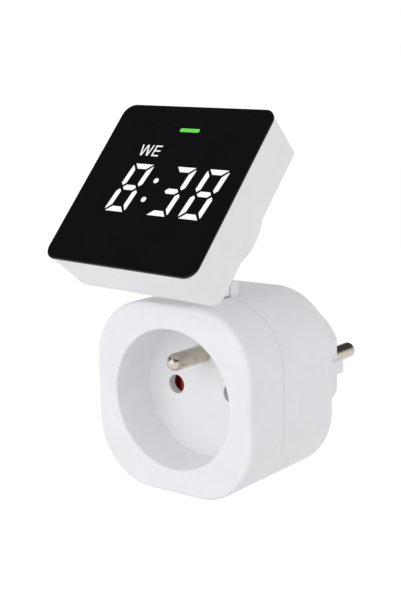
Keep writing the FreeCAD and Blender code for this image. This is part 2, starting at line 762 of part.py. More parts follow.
def make_earth_parts():
    """Strap from the front earth pin, side clips on a yoke, and the sleeve through the yoke."""
    thick = size("strap_thick")
    strap_z = size("nose_depth") + size("body_depth") - size("recess_depth") - size("floor_wall")
    strap_z -= size("earth_flange_thick") + thick / 2
    yoke_z = size("yoke_height") + thick / 2
    run_y = size("strap_rise") - thick / 2
    strap = bent_strip([(size("strap_low"), strap_z), (run_y, strap_z), (run_y, yoke_z + thick / 2)], thick,
                       size("strap_width"))
    play = size("play")
    rivet_base = Vector(0, size("earth_rise"), strap_z - thick)
    rivet = Part.makeCylinder(size("pin_radius") / 2 + play, 2 * thick, rivet_base)
    node(shaped("Strap", strap.cut(rivet)), "earth_strap", BASE)
    sleeve_outer = size("pin_radius") + size("contact_gap") + size("sleeve_wall")
    at_yoke = Vector(0, size("earth_rise"), size("yoke_height"))
    way = Part.makeCylinder(sleeve_outer + play, thick, at_yoke)
    ring = Part.makeCylinder(sleeve_outer + 2 * thick, thick, at_yoke)
    bore = size("nose_radius") - size("nose_wall")
    leg_y = math.sqrt(bore ** 2 - (size("strap_width") / 2) ** 2) - thick / 2 - 2 * play
    bulge_y = size("nose_radius") - thick / 2 + size("clip_bulge")
    half = [(leg_y, yoke_z), (leg_y, yoke_z + size("clip_foot")), (bulge_y, yoke_z + size("clip_swell")),
            (bulge_y, yoke_z + size("clip_hold")), (leg_y, yoke_z + size("clip_length"))]
    legs = bent_strip([(-y, z) for y, z in half[::-1]] + half, thick, size("strap_width"))
    node(shaped("Clips", legs.fuse(ring).cut(way).removeSplitter()), "earth_clips", BASE)
    sleeve_end = "sleeve_setback + sleeve_length"
    centre = ("0", "earth_rise")
    sleeve_radius = "pin_radius + contact_gap + sleeve_wall"
    outer = rod("SleeveOuter", sleeve_radius, "sleeve_setback", sleeve_end, centre)
    inner = rod("SleeveInner", "pin_radius + contact_gap", "sleeve_setback", sleeve_end, centre)
    node(cut("EarthSleeve", outer, inner), "earth_sleeve", BASE)


def make_board():
    body = doc.addObject("PartDesign::Body", "Board")
    outline = xy_sketch(body, "BoardOutline", BOARD_BACK)
    inset = "2 * shell_wall - 2 * board_margin"
    corner = "body_corner - shell_wall - board_margin"
    rounded_rectangle(outline, f"body_width - {inset}", f"body_height - {inset}", corner)
    pad(body, "BoardPlate", outline, "board_thick")
    tools = []
    for side in ("-", ""):
        place = (f"{side}pin_pitch / 2", "0")
        tools.append(rod("TailHole", "tail_radius + tail_gap", BOARD_BACK, BOARD_FRONT, place))
    for centre in screw_places():
        tools.append(rod("PostHole", "post_radius + strap_slot_gap", BOARD_BACK, BOARD_FRONT, centre))
    gap = "strap_slot_gap"
    low = (f"-strap_width / 2 - {gap}", f"strap_rise - strap_thick - {gap}", BOARD_BACK)
    tools.append(box("StrapSlot", low, (f"strap_width / 2 + {gap}", f"strap_rise + {gap}", BOARD_FRONT)))
    return node(cut("PowerBoard", body, *tools), "power_board", BASE)


def make_board_parts():
    """Relay, capacitors, fuse and cable header that stand on the power board."""
    half = f"({POST_SIDE} - relay_post_gap)"
    relay_low = "(relay_inset - body_height / 2)"
    low = (f"-{half}", relay_low, BOARD_FRONT)
    relay = box("Relay", low, (half, f"{relay_low} + relay_thick", f"{GUIDE_BACK} - relay_gap"))
    board_z = size("nose_depth") + size("shell_wall") + size("board_gap") + size("board_thick")
    top_edges = edge_at_z(guide_back_z - size("relay_gap"))
    node(round_off("RelayCase", relay, size("case_round"), top_edges), "relay", BASE)
    film_top = "body_height / 2 - film_cap_inset"
    low = (f"film_post_gap - {POST_SIDE}", f"{film_top} - film_cap_thick", BOARD_FRONT)
    high = ("-header_width / 2 - film_header_gap", film_top, f"{BOARD_FRONT} + film_cap_tall")
    film = box("FilmCap", low, high)
    top_edges = edge_at_z(board_z + size("film_cap_tall"))
    node(round_off("FilmCapCase", film, size("case_round"), top_edges), "film_capacitor", BASE)
    start = "(header_width / 2 + can_header_gap)"
    end = f"({POST_SIDE} - can_post_gap)"
    place = (f"({start} + {end}) / 2", "body_height / 2 - can_cap_inset")
    radius = f"({end} - {start}) / 2"
    can = rod("CanCap", radius, BOARD_FRONT, f"{BOARD_FRONT} + can_cap_tall", place)
    top_edges = edge_at_z(board_z + size("can_cap_tall"))
    node(round_off("CanCapCase", can, size("case_round"), top_edges), "can_capacitor", BASE)
    middle = ("body_width / 2 - fuse_inset", f"{BOARD_FRONT} + fuse_radius")
    barrel = "fuse_radius - fuse_cap_wall"
    glass = rod("FuseBody", barrel, "-fuse_length / 2", "fuse_length / 2", middle, "y")
    caps = []
    for start, end in (("-fuse_length / 2", "-fuse_length / 4"), ("fuse_length / 4", "fuse_length / 2")):
        caps.append(rod("FuseCap", "fuse_radius", start, end, middle, "y"))
    node(fuse("Fuse", glass, *caps), "fuse", BASE)
    header_top = "body_height / 2 - header_inset"
    low = ("-header_width / 2", f"{header_top} - header_thick", BOARD_FRONT)
    high = ("header_width / 2", header_top, f"{BOARD_FRONT} + header_tall")
    header = box("Header", low, high)
    node(header, "cable_header", BASE)


def make_shutter():
    """Slide that covers both socket holes, with sloped upper edges and a blind eye in each blade."""
    reach = "(pin_pitch / 2 + shutter_blade / 2)"
    low = (f"-{reach}", "-shutter_cover - shutter_bar", SHUTTER_BACK)
    pieces = [box("ShutterBar", low, (reach, "-shutter_cover", SHUTTER_FRONT))]
    for side in ("-", ""):
        low = (f"{side}pin_pitch / 2 - shutter_blade / 2", "-shutter_cover", SHUTTER_BACK)
        high = (f"{side}pin_pitch / 2 + shutter_blade / 2", "shutter_cover", SHUTTER_FRONT)
        pieces.append(box("Blade", low, high))
    blank = fuse("ShutterBlank", *pieces)

    def upper_front(edge):
        return edge_at_z(shutter_z)(edge) and near(edge.BoundBox.YMin, size("shutter_cover"))

    sloped = bevel("ShutterSlope", blank, size("shutter_slope"), upper_front)
    eyes = []
    eye_floor = f"{SHUTTER_BACK} + shutter_web"
    near_side, far_side = "(pin_pitch / 2 + shutter_eye_in)", "(pin_pitch / 2 + shutter_eye_out)"
    for left, right in ((f"-{far_side}", f"-{near_side}"), (near_side, far_side)):
        low = (left, "-shutter_eye_high / 2", eye_floor)
        eyes.append(box("ShutterEye", low, (right, "shutter_eye_high / 2", SHUTTER_FRONT)))
    node(cut("Shutter", sloped, *eyes), "shutter", BASE)


def make_shutter_guide():
    """Plate with side rails and a spring seat, fixed behind the socket floor."""
    seat = "(-shutter_cover - shutter_bar - spring_length)"
    foot = f"({seat} - guide_rail)"
    neck = "(pin_pitch / 2 + screw_gap)"
    plate_high = (RAIL_OUT, "shutter_cover", GUIDE_FRONT)
    parts = [box("GuidePlate", (f"-{RAIL_OUT}", RAIL_LOW, GUIDE_BACK), plate_high),
             box("GuideNeck", (f"-{neck}", foot, GUIDE_BACK), (neck, RAIL_LOW, GUIDE_FRONT)),
             box("SpringSeat", (f"-{neck}", foot, GUIDE_BACK), (neck, seat, FLOOR_BACK))]
    for low, high in ((f"-{RAIL_OUT}", f"-{RAIL_IN}"), (RAIL_IN, RAIL_OUT)):
        parts.append(box("GuideRail", (low, RAIL_LOW, GUIDE_BACK), (high, "shutter_cover", FLOOR_BACK)))
    holes = []
    for side in ("-", ""):
        place = (f"{side}pin_pitch / 2", "0")
        holes.append(rod("GuideHole", "guide_hole_radius", GUIDE_BACK, GUIDE_FRONT, place))
    node(cut("Guide", fuse("GuideBlank", *parts), *holes), "shutter_guide", BASE)
    middle = ("0", f"{SHUTTER_BACK} + shutter_thick / 2")
    spring_end = "-shutter_cover - shutter_bar"
    outer = rod("SpringOuter", "spring_radius", seat, spring_end, middle, "y")
    inner = rod("SpringInner", "spring_radius - spring_wire", seat, spring_end, middle, "y")
    node(cut("Spring", outer, inner), "shutter_spring", BASE)


def make_hinge():
    """Hinge pin from the open left ear into the closed right one, with a washer beside each ear."""
    start = f"hinge_pin_setback - {EAR_TIP}"
    end = f"{EAR_TIP} - ear_cap - hinge_pin_setback"
    place = (HINGE_Y, HINGE_Z)
    node(rod("HingePin", "hinge_pin_radius", start, end, place, "x"), "hinge_pin", BASE)
    near_foot = "(foot_half + washer_gap)"
    near_ear = "(foot_half + washer_gap + washer_thick)"
    for start, stop, label in ((f"-{near_ear}", f"-{near_foot}", "left"), (near_foot, near_ear, "right")):
        outer = rod("WasherOuter", "knuckle_radius", start, stop, place, "x")
        inner = rod("WasherInner", "hinge_pin_radius + hinge_pin_gap", start, stop, place, "x")
        node(cut("Washer", outer, inner), f"hinge_washer_{label}", BASE)


def foot_point(rise, reach):
    """Point of the foot's outline above the hinge and behind it."""
    return Vector(0, hinge_y + size(rise), hinge_z - size(reach))


def foot_outline():
    """Side view of the arm's foot, from the knuckle round the hinge up into the dome."""
    bottom = size("body_height") / 2 + size("foot_lift")
    bend = size("knuckle_radius")
    lean = math.radians(size("knuckle_lean"))
    low_back = Vector(0, hinge_y + bend * math.sin(lean), hinge_z - bend * math.cos(lean))
    floor = Vector(0, bottom, hinge_z)
    back = Vector(0, (hinge_y + bottom) / 2, hinge_z - size("knuckle_back"))
    edges = [Part.Arc(floor, back, low_back).toShape()]
    corners = [low_back, foot_point("heel_rise", "heel_reach"), foot_point("back_rise", "back_reach"),
               foot_point("neck_rise", "neck_reach"), *foot_front(), floor]
    for start, end in zip(corners, corners[1:]):
        edges.append(Part.LineSegment(start, end).toShape())
    return Part.Face(Part.Wire(edges))


def foot_front():
    """Corners of the foot from inside the dome down its front to the body."""
    bottom = size("body_height") / 2 + size("foot_lift")
    front = hinge_z + size("foot_front")
    return [Vector(0, dome_y - size("nape_drop"), dome_z - size("nape_reach")),
            Vector(0, dome_y - size("chin_drop"), dome_z + size("chin_reach")),
            Vector(0, bottom + size("toe_rise"), front + size("toe_reach")),
            Vector(0, bottom, front)]


def shoulder_outline():
    """Side view of the foot's shoulders, which stand in front of the ears and level with them."""
    rear = hinge_z + size("ear_radius") + size("ear_slit")
    corners = [Vector(0, size("body_height") / 2 + size("foot_lift"), rear),
               Vector(0, hinge_y + size("shoulder_bend"), rear),
               foot_point("shoulder_rise", "shoulder_reach"), *foot_front()]
    return Part.Face(Part.makePolygon(corners + corners[:1]))


def slab(outline, half):
    """Slab over an outline in the yz plane, as wide on both sides, with rounded edges."""
    block = outline.extrude(Vector(2 * half, 0, 0))
    block.translate(Vector(-half, 0, 0))
    sides = [edge for edge in block.Edges if near(edge.BoundBox.XMin, edge.BoundBox.XMax)]
    return block.makeFillet(size("foot_round"), sides)


def make_arm():
    """Foot and hollow dome in one piece, with a seat for the disc and a channel for the cable."""
    half = size("foot_half")
    foot = slab(foot_outline(), half)
    shoulders = slab(shoulder_outline(), size("ear_inner") + size("ear_thick"))
    radius = size("dome_radius")
    seat_deep = size("disc_thick")
    dome = Part.makeSphere(radius, Vector(), Z_AXIS, -90, 0, 360)
    hollow = Part.makeSphere(radius - size("dome_wall"), Vector(), Z_AXIS, -90, 0, 360)
    seat = Part.makeCylinder(size("disc_radius") + size("disc_gap") / 2, seat_deep, Vector(0, 0, -seat_deep))
    ceiling = Part.makeCylinder(2 * radius, 2 * radius)
    for shape in (dome, hollow, seat, ceiling):
        shape.Placement = TO_DOME
    channel_low = Vector(-size("channel_width") / 2, hinge_y - 3 * size("knuckle_radius"), channel_z)
    channel = Part.makeBox(size("channel_width"), dome_y - hinge_y, size("channel_deep"), channel_low)
    bore = Part.makeCylinder(size("hinge_pin_radius") + size("hinge_pin_gap"), 2 * (half + PAST),
                             Vector(-half - PAST, hinge_y, hinge_z), X_AXIS)
    solid = dome.fuse([foot, shoulders]).cut([ceiling, hollow, seat, channel, bore]).removeSplitter()
    node(shaped("Arm", solid.Solids[0]), "arm", BASE)


def make_swivel():
    """Disc and tube that carry the head, with the wave washer and keeper that hold it on."""
    disc = rod("Disc", "disc_radius", "-disc_thick + disc_gap", "0")
    tube_end = "head_gap + head_back + wave_thick + 2 * play + keeper_thick"
    tube = rod("Tube", "tube_radius", "-disc_thick + disc_gap", tube_end)
    bore = rod("TubeBore", "tube_radius - tube_wall", "-disc_thick", f"{tube_end} + {PAST}")
    node(cut("SwivelDisc", fuse("DiscBlank", disc, tube), bore), "swivel_disc", SWIVEL)
    wave_low = "head_gap + head_back + play"
    outer = rod("WaveOuter", "keeper_radius - wave_inset", wave_low, f"{wave_low} + wave_thick")
    inner = rod("WaveInner", "tube_radius + tube_gap", wave_low, f"{wave_low} + wave_thick")
    node(cut("WaveWasher", outer, inner), "wave_washer", SWIVEL)
    keeper_low = f"{wave_low} + wave_thick + play"
    keeper_end = f"{keeper_low} + keeper_thick - play"
    outer = rod("KeeperOuter", "keeper_radius", keeper_low, keeper_end)
    inner = rod("KeeperInner", "tube_radius + tube_gap / 2", keeper_low, keeper_end)
    node(cut("Keeper", outer, inner), "swivel_keeper", SWIVEL)


def make_arm_ribbon():
    """Flat cable from the body through the arm's channel and the swivel tube into the head."""
    tilt = math.radians(size("head_tilt"))
    tube_top = size("head_gap") + size("head_back") + size("wave_thick") + size("keeper_thick")
    middle_z = channel_z + size("channel_deep") / 2
    route = [(size("body_height") / 2 + size("ribbon_start"), middle_z),
             (dome_y - size("ribbon_bend"), middle_z)]
    for step in (-size("ribbon_deep"), tube_top):
        route.append((dome_y + step * math.sin(tilt), dome_z + step * math.cos(tilt)))
    strip = bent_strip(route, size("ribbon_thick"), size("ribbon_width"))
    node(shaped("Ribbon", strip), "arm_ribbon", BASE)


def loft_block(body, label, front, rear, kind):
    """Loft between two rounded squares, each given as (size, corner, height)."""
    wide, corner, z = front
    first = rounded_rectangle(xy_sketch(body, label + "Front", z), wide, wide, corner)
    wide, corner, z = rear
    second = rounded_rectangle(xy_sketch(body, label + "Rear", z), wide, wide, corner)
    item = body.newObject(kind, label)
    item.Profile = first
    item.Sections = [second]
    item.Ruled = True
    return item


def button_x(number):
    return f"(({number} - {(BUTTONS + 1) / 2}) * button_pitch)"


def board_screw_places():
    return [(side + BOARD_SCREW_X, "-" + BOARD_SCREW_Y) for side in ("-", "")]


def make_head_housing():
    """Square cup that tapers towards its closed rear, bored for the tube and the buttons."""
    body = doc.addObject("PartDesign::Body", "HeadHousing")
    front = (HEAD_FRONT, "head_front_corner", PLATE_BACK)
    rear = (HEAD_REAR, "head_rear_corner", "0 - head_depth")
    block = loft_block(body, "HeadBlock", front, rear, "PartDesign::AdditiveLoft")
    soften(body, "HeadEdge", block, "head_rear_round", edge_at_z(-size("head_depth")))
    front = (HEAD_FRONT + " - 2 * head_wall", "head_front_corner", PLATE_BACK)
    rear = (HEAD_REAR + " - 2 * head_wall", "head_rear_corner", HEAD_INSIDE)
    loft_block(body, "HeadHollow", front, rear, "PartDesign::SubtractiveLoft")
    posts = []
    middle = ("0", "swivel_offset")
    tools = [rod("TubeHole", "tube_radius + tube_gap", "0 - head_depth", HEAD_INSIDE, middle)]
    post_base = f"{HEAD_INSIDE} - head_back / 2"
    for centre in board_screw_places():
        posts.append(rod("BoardPost", "board_post_radius", post_base, BOARD_UNDER, centre))
        bore = "board_screw_radius + screw_gap"
        tools.append(rod("BoardScrewBore", bore, f"{HEAD_INSIDE} + play", BOARD_UNDER, centre))
    for number in range(1, BUTTONS + 1):
        centre = (button_x(number), "-button_depth")
        low = f"({HEAD_REAR}) / 2 - 2 * head_wall"
        high = f"({HEAD_FRONT}) / 2"
        tools.append(rod("ButtonHole", "button_radius + button_gap", low, high, centre, "y"))
    return node(cut("HeadCut", fuse("HeadBlank", body, *posts), *tools), "head_housing", HEAD)


def digit_segments(left):
    """Outlines of the seven segments of one digit, upright, as (letter, points)."""
    wide = size("digit_width")
    high = size("digit_high")
    bar = size("digit_stroke")
    split = size("digit_split") / 2
    middle = high / 2
    top = [(split, high), (wide - split, high), (wide - bar - split, high - bar), (bar + split, high - bar)]
    above = middle + bar / 2
    below = middle - bar / 2
    centre = [(bar / 2 + split, middle), (bar + split, above), (wide - bar - split, above),
              (wide - bar / 2 - split, middle), (wide - bar - split, below), (bar + split, below)]
    upper = [(0, high - split - bar / 4), (bar / 8, high - split), (bar, high - bar - split),
             (bar, above + split), (bar / 2, middle + split), (0, above + split)]
    outlines = {"a": top, "g": centre, "f": upper}
    outlines["b"] = [(wide - x, y) for x, y in upper]
    outlines["d"] = [(x, high - y) for x, y in top]
    outlines["e"] = [(x, high - y) for x, y in upper]
    outlines["c"] = [(wide - x, high - y) for x, y in upper]
    lean = math.tan(math.radians(size("digit_slant")))
    placed = {}
    for letter, points in outlines.items():
        placed[letter] = [(left + x + y * lean, size("digit_base") + y) for x, y in points]
    return placed


def flat_face(points, shrink=0.0):
    """Face in the xy plane from a closed outline, drawn in by a clearance."""
    corners = [Vector(x, y, 0) for x, y in points]
    face = Part.Face(Part.makePolygon(corners + corners[:1]))
    return face.makeOffset2D(-shrink) if shrink else face


def stroke(points, thickness):
    """Outline of a bent pen stroke of even thickness."""
    sides = ([], [])
    for number, (x, y) in enumerate(points):
        here = Vector(x, y, 0)
        before = Vector(*points[number - 1], 0) if number else None
        after = Vector(*points[number + 1], 0) if number < len(points) - 1 else None
        first = (here - before).normalize() if before else (after - here).normalize()
        second = (after - here).normalize() if after else first
        across = Vector(-(first.y + second.y), first.x + second.x, 0).normalize()
        reach = thickness / 2 / Vector(-first.y, first.x, 0).dot(across)
        for side, sign in zip(sides, (1, -1)):
            side.append((here.x + sign * across.x * reach, here.y + sign * across.y * reach))
    return sides[0] + sides[1][::-1]


def lit_faces(shrink):
    """Lit windows of the display: the digits, the colon and the short name of the day."""
    faces = []
    left = size("digit_left")
    minutes = left + size("colon_step")
    for start, lit in ((left, "abcdefg"), (minutes, "abcdg"), (minutes + size("digit_step"), "abcdefg")):
        outlines = digit_segments(start)
        faces += [flat_face(outlines[letter], shrink) for letter in lit]
    lean = math.tan(math.radians(size("digit_slant")))
    for rise in (0.0, size("colon_high")):
        centre = Vector(size("colon_side") + rise * lean, size("colon_low") + rise, 0)
        dot = Part.Wire(Part.makeCircle(size("colon_radius") - shrink, centre))
        faces.append(Part.Face(dot))
    return faces + day_faces(shrink)


def day_faces(shrink):
    """The two letters of the day's short name, as pen strokes cut level above and below."""
    left = size("day_left")
    base = size("day_base")
    high = size("day_high")
    pen = size("day_stroke") - 2 * shrink
    slab = Part.makePlane(4 * high, high - 2 * shrink, Vector(left - high, base + shrink, 0))
    levels = (base + high + PAST, base + size("day_dip"), base + high - size("day_dip"),
              base + size("day_dip"), base + high + PAST)
    zigzag = []
    for number, level in enumerate(levels):
        zigzag.append((left + size("day_inset") + number * size("day_step"), level))
    first = flat_face(stroke(zigzag, pen)).common(slab)
    stem = left + size("day_stem")
    upright = [(stem, base - PAST), (stem + size("day_lean"), base + high + PAST)]
    bars = [flat_face(stroke(upright, pen)).common(slab)]
    for rise in (pen / 2 + shrink, high / 2, high - pen / 2 - shrink):
        across = [(stem, base + rise), (stem + size("day_arm"), base + rise)]
        bars.append(flat_face(stroke(across, pen)).common(slab))
    second = bars[0].fuse(bars[1:]).removeSplitter()
    return first.Faces + second.Faces


def bar_face(shrink):
    """Window of the status bar, a small rectangle with round ends."""
    wide = size("bar_width") - 2 * shrink
    high = size("bar_high") - 2 * shrink
    low = Vector(size("bar_side") - wide / 2, size("bar_rise") - high / 2, 0)
    bar = Part.makeBox(wide, high, PAST, low)
    upright = [edge for edge in bar.Edges if near(edge.BoundBox.ZLength, PAST)]
    bar = bar.makeFillet(size("bar_round") - shrink, upright)
    return [face for face in bar.Faces if near(face.BoundBox.ZMax, 0)][0]


def raise_faces(faces, low, high):
    """Solids over flat faces, from one height to another."""
    solids = []
    for face in faces:
        solid = face.extrude(Vector(0, 0, high - low))
        solid.translate(Vector(0, 0, low))
        solids.append(solid)
    return solids


def make_display():
    """Black plate with cut windows, and the white diffuser and green lens that fill them."""
    thick = size("plate_thick")
    web_back = -thick - size("diffuser_thick")
    body = doc.addObject("PartDesign::Body", "Plate")
    outline = xy_sketch(body, "PlateOutline", PLATE_BACK)
    rounded_rectangle(outline, "plate_size", "plate_size", "plate_corner")
    block = pad(body, "PlateBlock", outline, "plate_thick")
    doc.recompute()
    edge = body.newObject("PartDesign::Chamfer", "PlateChamfer")
    front_edge = edge_at_z(0)
    picked = [f"Edge{number}" for number, item in enumerate(block.Shape.Edges, start=1) if front_edge(item)]
    edge.Base = (block, picked)
    bind(edge, Size="plate_chamfer")
    windows = raise_faces(lit_faces(0.0) + [bar_face(0.0)], -thick - PAST, PAST)
    opening = shaped("Windows", Part.makeCompound(windows))
    node(cut("PlateCut", body, opening), "front_plate", HEAD)
    gap = size("window_gap")
    wide = size_of(HEAD_FRONT) - 2 * size("head_wall") - 2 * size("diffuser_gap")
    high = size("diffuser_high")
    web_low = Vector(-wide / 2, size("diffuser_rise") - high / 2, web_back)
    web = Part.makeBox(wide, high, size("diffuser_thick"), web_low)
    raised = raise_faces(lit_faces(gap), -thick - size("diffuser_thick") / 2, 0)
    node(shaped("Diffuser", web.fuse(raised).removeSplitter()), "display_diffuser", HEAD)
    flange = size("bar_flange")
    lens = raise_faces([bar_face(gap)], -thick - size("diffuser_thick") / 2, 0)[0]
    wide = size("bar_width") + 2 * flange
    high = size("bar_high") + 2 * flange
    foot_low = Vector(size("bar_side") - wide / 2, size("bar_rise") - high / 2, web_back)
    foot = Part.makeBox(wide, high, size("diffuser_thick"), foot_low)
    node(shaped("StatusLens", foot.fuse(lens).removeSplitter()), "status_lens", HEAD)
    half = f"(({HEAD_FRONT}) / 2 - head_wall - module_gap)"
    low = (f"-{half}", "module_rise - module_high / 2", BOARD_TOP)
    high = (half, "module_rise + module_high / 2", MODULE_FRONT)
    node(box("Module", low, high), "display_module", HEAD)


def make_head_board():
    """Display board with its screws, chip, backup cell and cable socket."""
    body = doc.addObject("PartDesign::Body", "DisplayBoard")
    outline = xy_sketch(body, "DisplayOutline", BOARD_UNDER)
    wide = HEAD_REAR + " - 2 * head_wall - 2 * display_board_gap"
    rounded_rectangle(outline, wide, wide, "head_rear_corner")
    pad(body, "DisplayPlate", outline, "display_board_thick")
    holes = []
    for centre in board_screw_places():
        holes.append(rod("BoardHole", "board_screw_radius + screw_gap", BOARD_UNDER, BOARD_TOP, centre))
    node(cut("DisplayBoardCut", body, *holes), "display_board", HEAD)
    for number, centre in enumerate(board_screw_places(), start=1):
        head = rod("SmallHead", "board_screw_head", BOARD_TOP, f"{BOARD_TOP} + board_screw_thick", centre)
        shank = rod("SmallShank", "board_screw_radius", f"{HEAD_INSIDE} + 2 * play", BOARD_TOP, centre)
        node(fuse("SmallScrew", head, shank), f"board_screw_{number}", HEAD)
    right = f"({BOARD_SCREW_X} - board_post_radius - chip_gap)"
    middle = f"(chip_rise - {BOARD_SCREW_Y})"
    low = (f"{right} - chip_size", f"{middle} - chip_size / 2", f"{BOARD_UNDER} - chip_thick")
    high = (right, f"{middle} + chip_size / 2", BOARD_UNDER)
    node(box("Chip", low, high), "clock_chip", HEAD)
    reach = "board_post_radius + cell_gap + cell_case + cell_radius"
    centre = (f"{reach} - {BOARD_SCREW_X}", f"cell_rise - {BOARD_SCREW_Y}")
    case_low = f"{BOARD_UNDER} - cell_thick - cell_case"
    case = rod("CellCase", "cell_radius + cell_case", case_low, BOARD_UNDER, centre)
    room = rod("CellRoom", "cell_radius + play", f"{case_low} + cell_case - play", BOARD_UNDER, centre)
    node(cut("CellHolder", case, room), "cell_holder", HEAD)
    node(rod("Cell", "cell_radius", f"{BOARD_UNDER} - cell_thick", BOARD_UNDER, centre), "backup_cell", HEAD)
    half = "plug_block / 2"
    low = (f"-{half}", f"swivel_offset - {half}", f"{BOARD_UNDER} - plug_block_thick")
    node(box("PlugBlock", low, (half, f"swivel_offset + {half}", BOARD_UNDER)), "ribbon_socket", HEAD)


def make_buttons():
    """Push buttons in the housing's upper wall, each over its own switch on the board."""
    share = (size("button_depth") - size("plate_thick")) / (size("head_depth") - size("plate_thick"))
    outside = size_of(HEAD_FRONT) / 2 - size("head_taper") * share
    top = outside + size("button_proud")
    flange_top = size_of(HEAD_REAR) / 2 - size("head_wall") - size("play")
    flange_low = flange_top - size("button_flange_thick")
    thick = size("button_flange_thick")
    radius = size("button_radius")
    switch_top = flange_low - size("button_travel") - size("switch_clear")
    side = size("switch_size")
    board_top = -size("plate_thick") - size("diffuser_thick") - size("module_thick")
    board_under = board_top - size("display_board_thick")
    for number in range(1, BUTTONS + 1):
        middle = (number - (BUTTONS + 1) / 2) * size("button_pitch")
        centre = Vector(middle, flange_low, -size("button_depth"))
        cap = Part.makeCylinder(radius, top - flange_low, centre, Y_AXIS)
        rim = [edge for edge in cap.Edges if near(edge.BoundBox.YMin, top)]
        cap = cap.makeFillet(size("button_round"), rim)
        flange = Part.makeCylinder(radius + size("button_flange"), thick, centre, Y_AXIS)
        node(shaped("Button", cap.fuse(flange).removeSplitter()), f"button_{number}", HEAD)
        block_low = Vector(middle - side / 2, switch_top - side, board_under - side)
        block = Part.makeBox(side, side, side, block_low)
        node(shaped("Switch", block), f"button_switch_{number}", HEAD)


make_front_shell()
make_rear_shell()
make_screws()
make_front_earth_pin()
make_plug_pins()
make_contacts()
make_earth_parts()
make_board()
make_board_parts()
make_shutter()
make_shutter_guide()
make_hinge()
make_arm()
make_swivel()
make_arm_ribbon()
make_head_housing()
make_display()
make_head_board()
make_buttons()
doc.recompute()

for item in doc.Objects:
    if {"Invalid", "Error"} & set(item.State):
        raise RuntimeError(f"{item.Label} was not made: {item.State}")
os.makedirs("parts", exist_ok=True)
for item in NODES:
    if item.Shape.isNull() or not item.Shape.isValid():
        raise RuntimeError(f"{item.Label} has no valid shape")
    item.Shape.exportStep(f"parts/{item.Label}.step")
    print(item.Label, len(item.Shape.Solids), round(item.Shape.Volume, 2))
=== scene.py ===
"""Plug-in digital timer: finishes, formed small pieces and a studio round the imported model.

The file is laid out as an add-on and is run as a script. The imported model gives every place
and size, in metres: +X to the right seen from the socket face, +Y towards the wall, +Z up.
"""
import json
import math

import bmesh
import bpy
import numpy as np
from bpy.props import FloatProperty, FloatVectorProperty, IntProperty, PointerProperty
from mathutils import Matrix, Vector


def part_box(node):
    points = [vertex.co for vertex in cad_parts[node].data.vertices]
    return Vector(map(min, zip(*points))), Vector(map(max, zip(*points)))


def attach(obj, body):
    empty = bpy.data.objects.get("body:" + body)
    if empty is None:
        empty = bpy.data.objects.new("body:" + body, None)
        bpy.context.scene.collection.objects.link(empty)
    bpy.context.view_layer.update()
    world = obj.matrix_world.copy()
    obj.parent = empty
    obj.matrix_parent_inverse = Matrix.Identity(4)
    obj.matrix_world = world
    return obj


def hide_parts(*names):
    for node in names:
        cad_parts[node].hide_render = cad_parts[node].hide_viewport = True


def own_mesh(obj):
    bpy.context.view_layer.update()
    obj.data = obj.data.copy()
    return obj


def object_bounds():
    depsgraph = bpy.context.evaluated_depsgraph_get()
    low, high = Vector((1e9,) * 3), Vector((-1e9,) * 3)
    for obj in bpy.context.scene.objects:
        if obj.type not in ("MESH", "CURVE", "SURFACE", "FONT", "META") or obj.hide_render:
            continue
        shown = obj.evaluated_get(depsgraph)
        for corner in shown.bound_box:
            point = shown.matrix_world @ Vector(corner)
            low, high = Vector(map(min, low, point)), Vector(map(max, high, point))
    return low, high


bl_info = {
    "name": "Plug-in timer",
    "version": (1, 0, 0),
    "blender": (4, 5, 0),
    "location": "View3D > Sidebar > Timer",
    "description": "Finishes, formed pieces and studio of a plug-in digital timer",
    "category": "Object",
}

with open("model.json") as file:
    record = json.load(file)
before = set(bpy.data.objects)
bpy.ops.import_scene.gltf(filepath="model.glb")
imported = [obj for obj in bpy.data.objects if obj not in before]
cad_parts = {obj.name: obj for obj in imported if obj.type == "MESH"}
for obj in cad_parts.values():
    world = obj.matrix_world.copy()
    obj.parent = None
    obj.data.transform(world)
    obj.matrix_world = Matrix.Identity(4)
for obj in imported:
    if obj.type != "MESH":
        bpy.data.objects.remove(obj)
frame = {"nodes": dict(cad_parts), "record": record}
CAD_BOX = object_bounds()
MM = 0.001
SLOT_OF = {part["node"]: part["material_slot"] for part in frame["record"]["subparts"]}
JOINTS = {joint["name"]: joint for joint in frame["record"]["behaviour"]["joints"]}
SWIVEL_AXIS = JOINTS["head_swivel"]["axis"]
SWIVEL_PLACE = JOINTS["head_swivel"]["pos_m"]
HEAD_UP = [-part for part in JOINTS["button_1_press"]["axis"]]

# Directions in which screws and the can point
TO_THE_FACE = (0, -1, 0)
TO_THE_HEAD_BACK = tuple(-part for part in SWIVEL_AXIS)

# Route of the flat cable: the start of its bend below the swivel's place, its two points on the
# swivel's axis, and the step and softening of the route
CABLE_BEND = 13.0 * MM
CABLE_BEHIND_SWIVEL = 3.0 * MM
CABLE_PAST_SWIVEL = 3.8 * MM
CABLE_STEP = 0.3 * MM
CABLE_SOFTENING = 3.0 * MM

# Route of a leg of the clock chip: how far its corners stand out from the chip's side, how far the
# outer legs are from the chip's ends, and the step and softening of the route
LEG_CORNERS = (-0.3 * MM, 0.35 * MM, 0.65 * MM, 1.25 * MM)
LEG_INSET = 0.6 * MM
LEG_STEP = 0.06 * MM
LEG_SOFTENING = 0.36 * MM

# Points nearer than this are merged, and edges sharper than this stay hard
MERGE_DISTANCE = 1e-7
HARD_EDGE = math.radians(38)

# Camera as in the photograph: its place, its aim and the direction that is up in its picture
CAMERA_PLACE = Vector((0.19769, -0.29520, 0.08640))
CAMERA_AIM = Vector((-0.60672, 0.77205, -0.18929))
CAMERA_UP = Vector((-0.09690, 0.16452, 0.98160))
CAMERA_NEAR = 0.01
SENSOR_WIDTH = 36.0

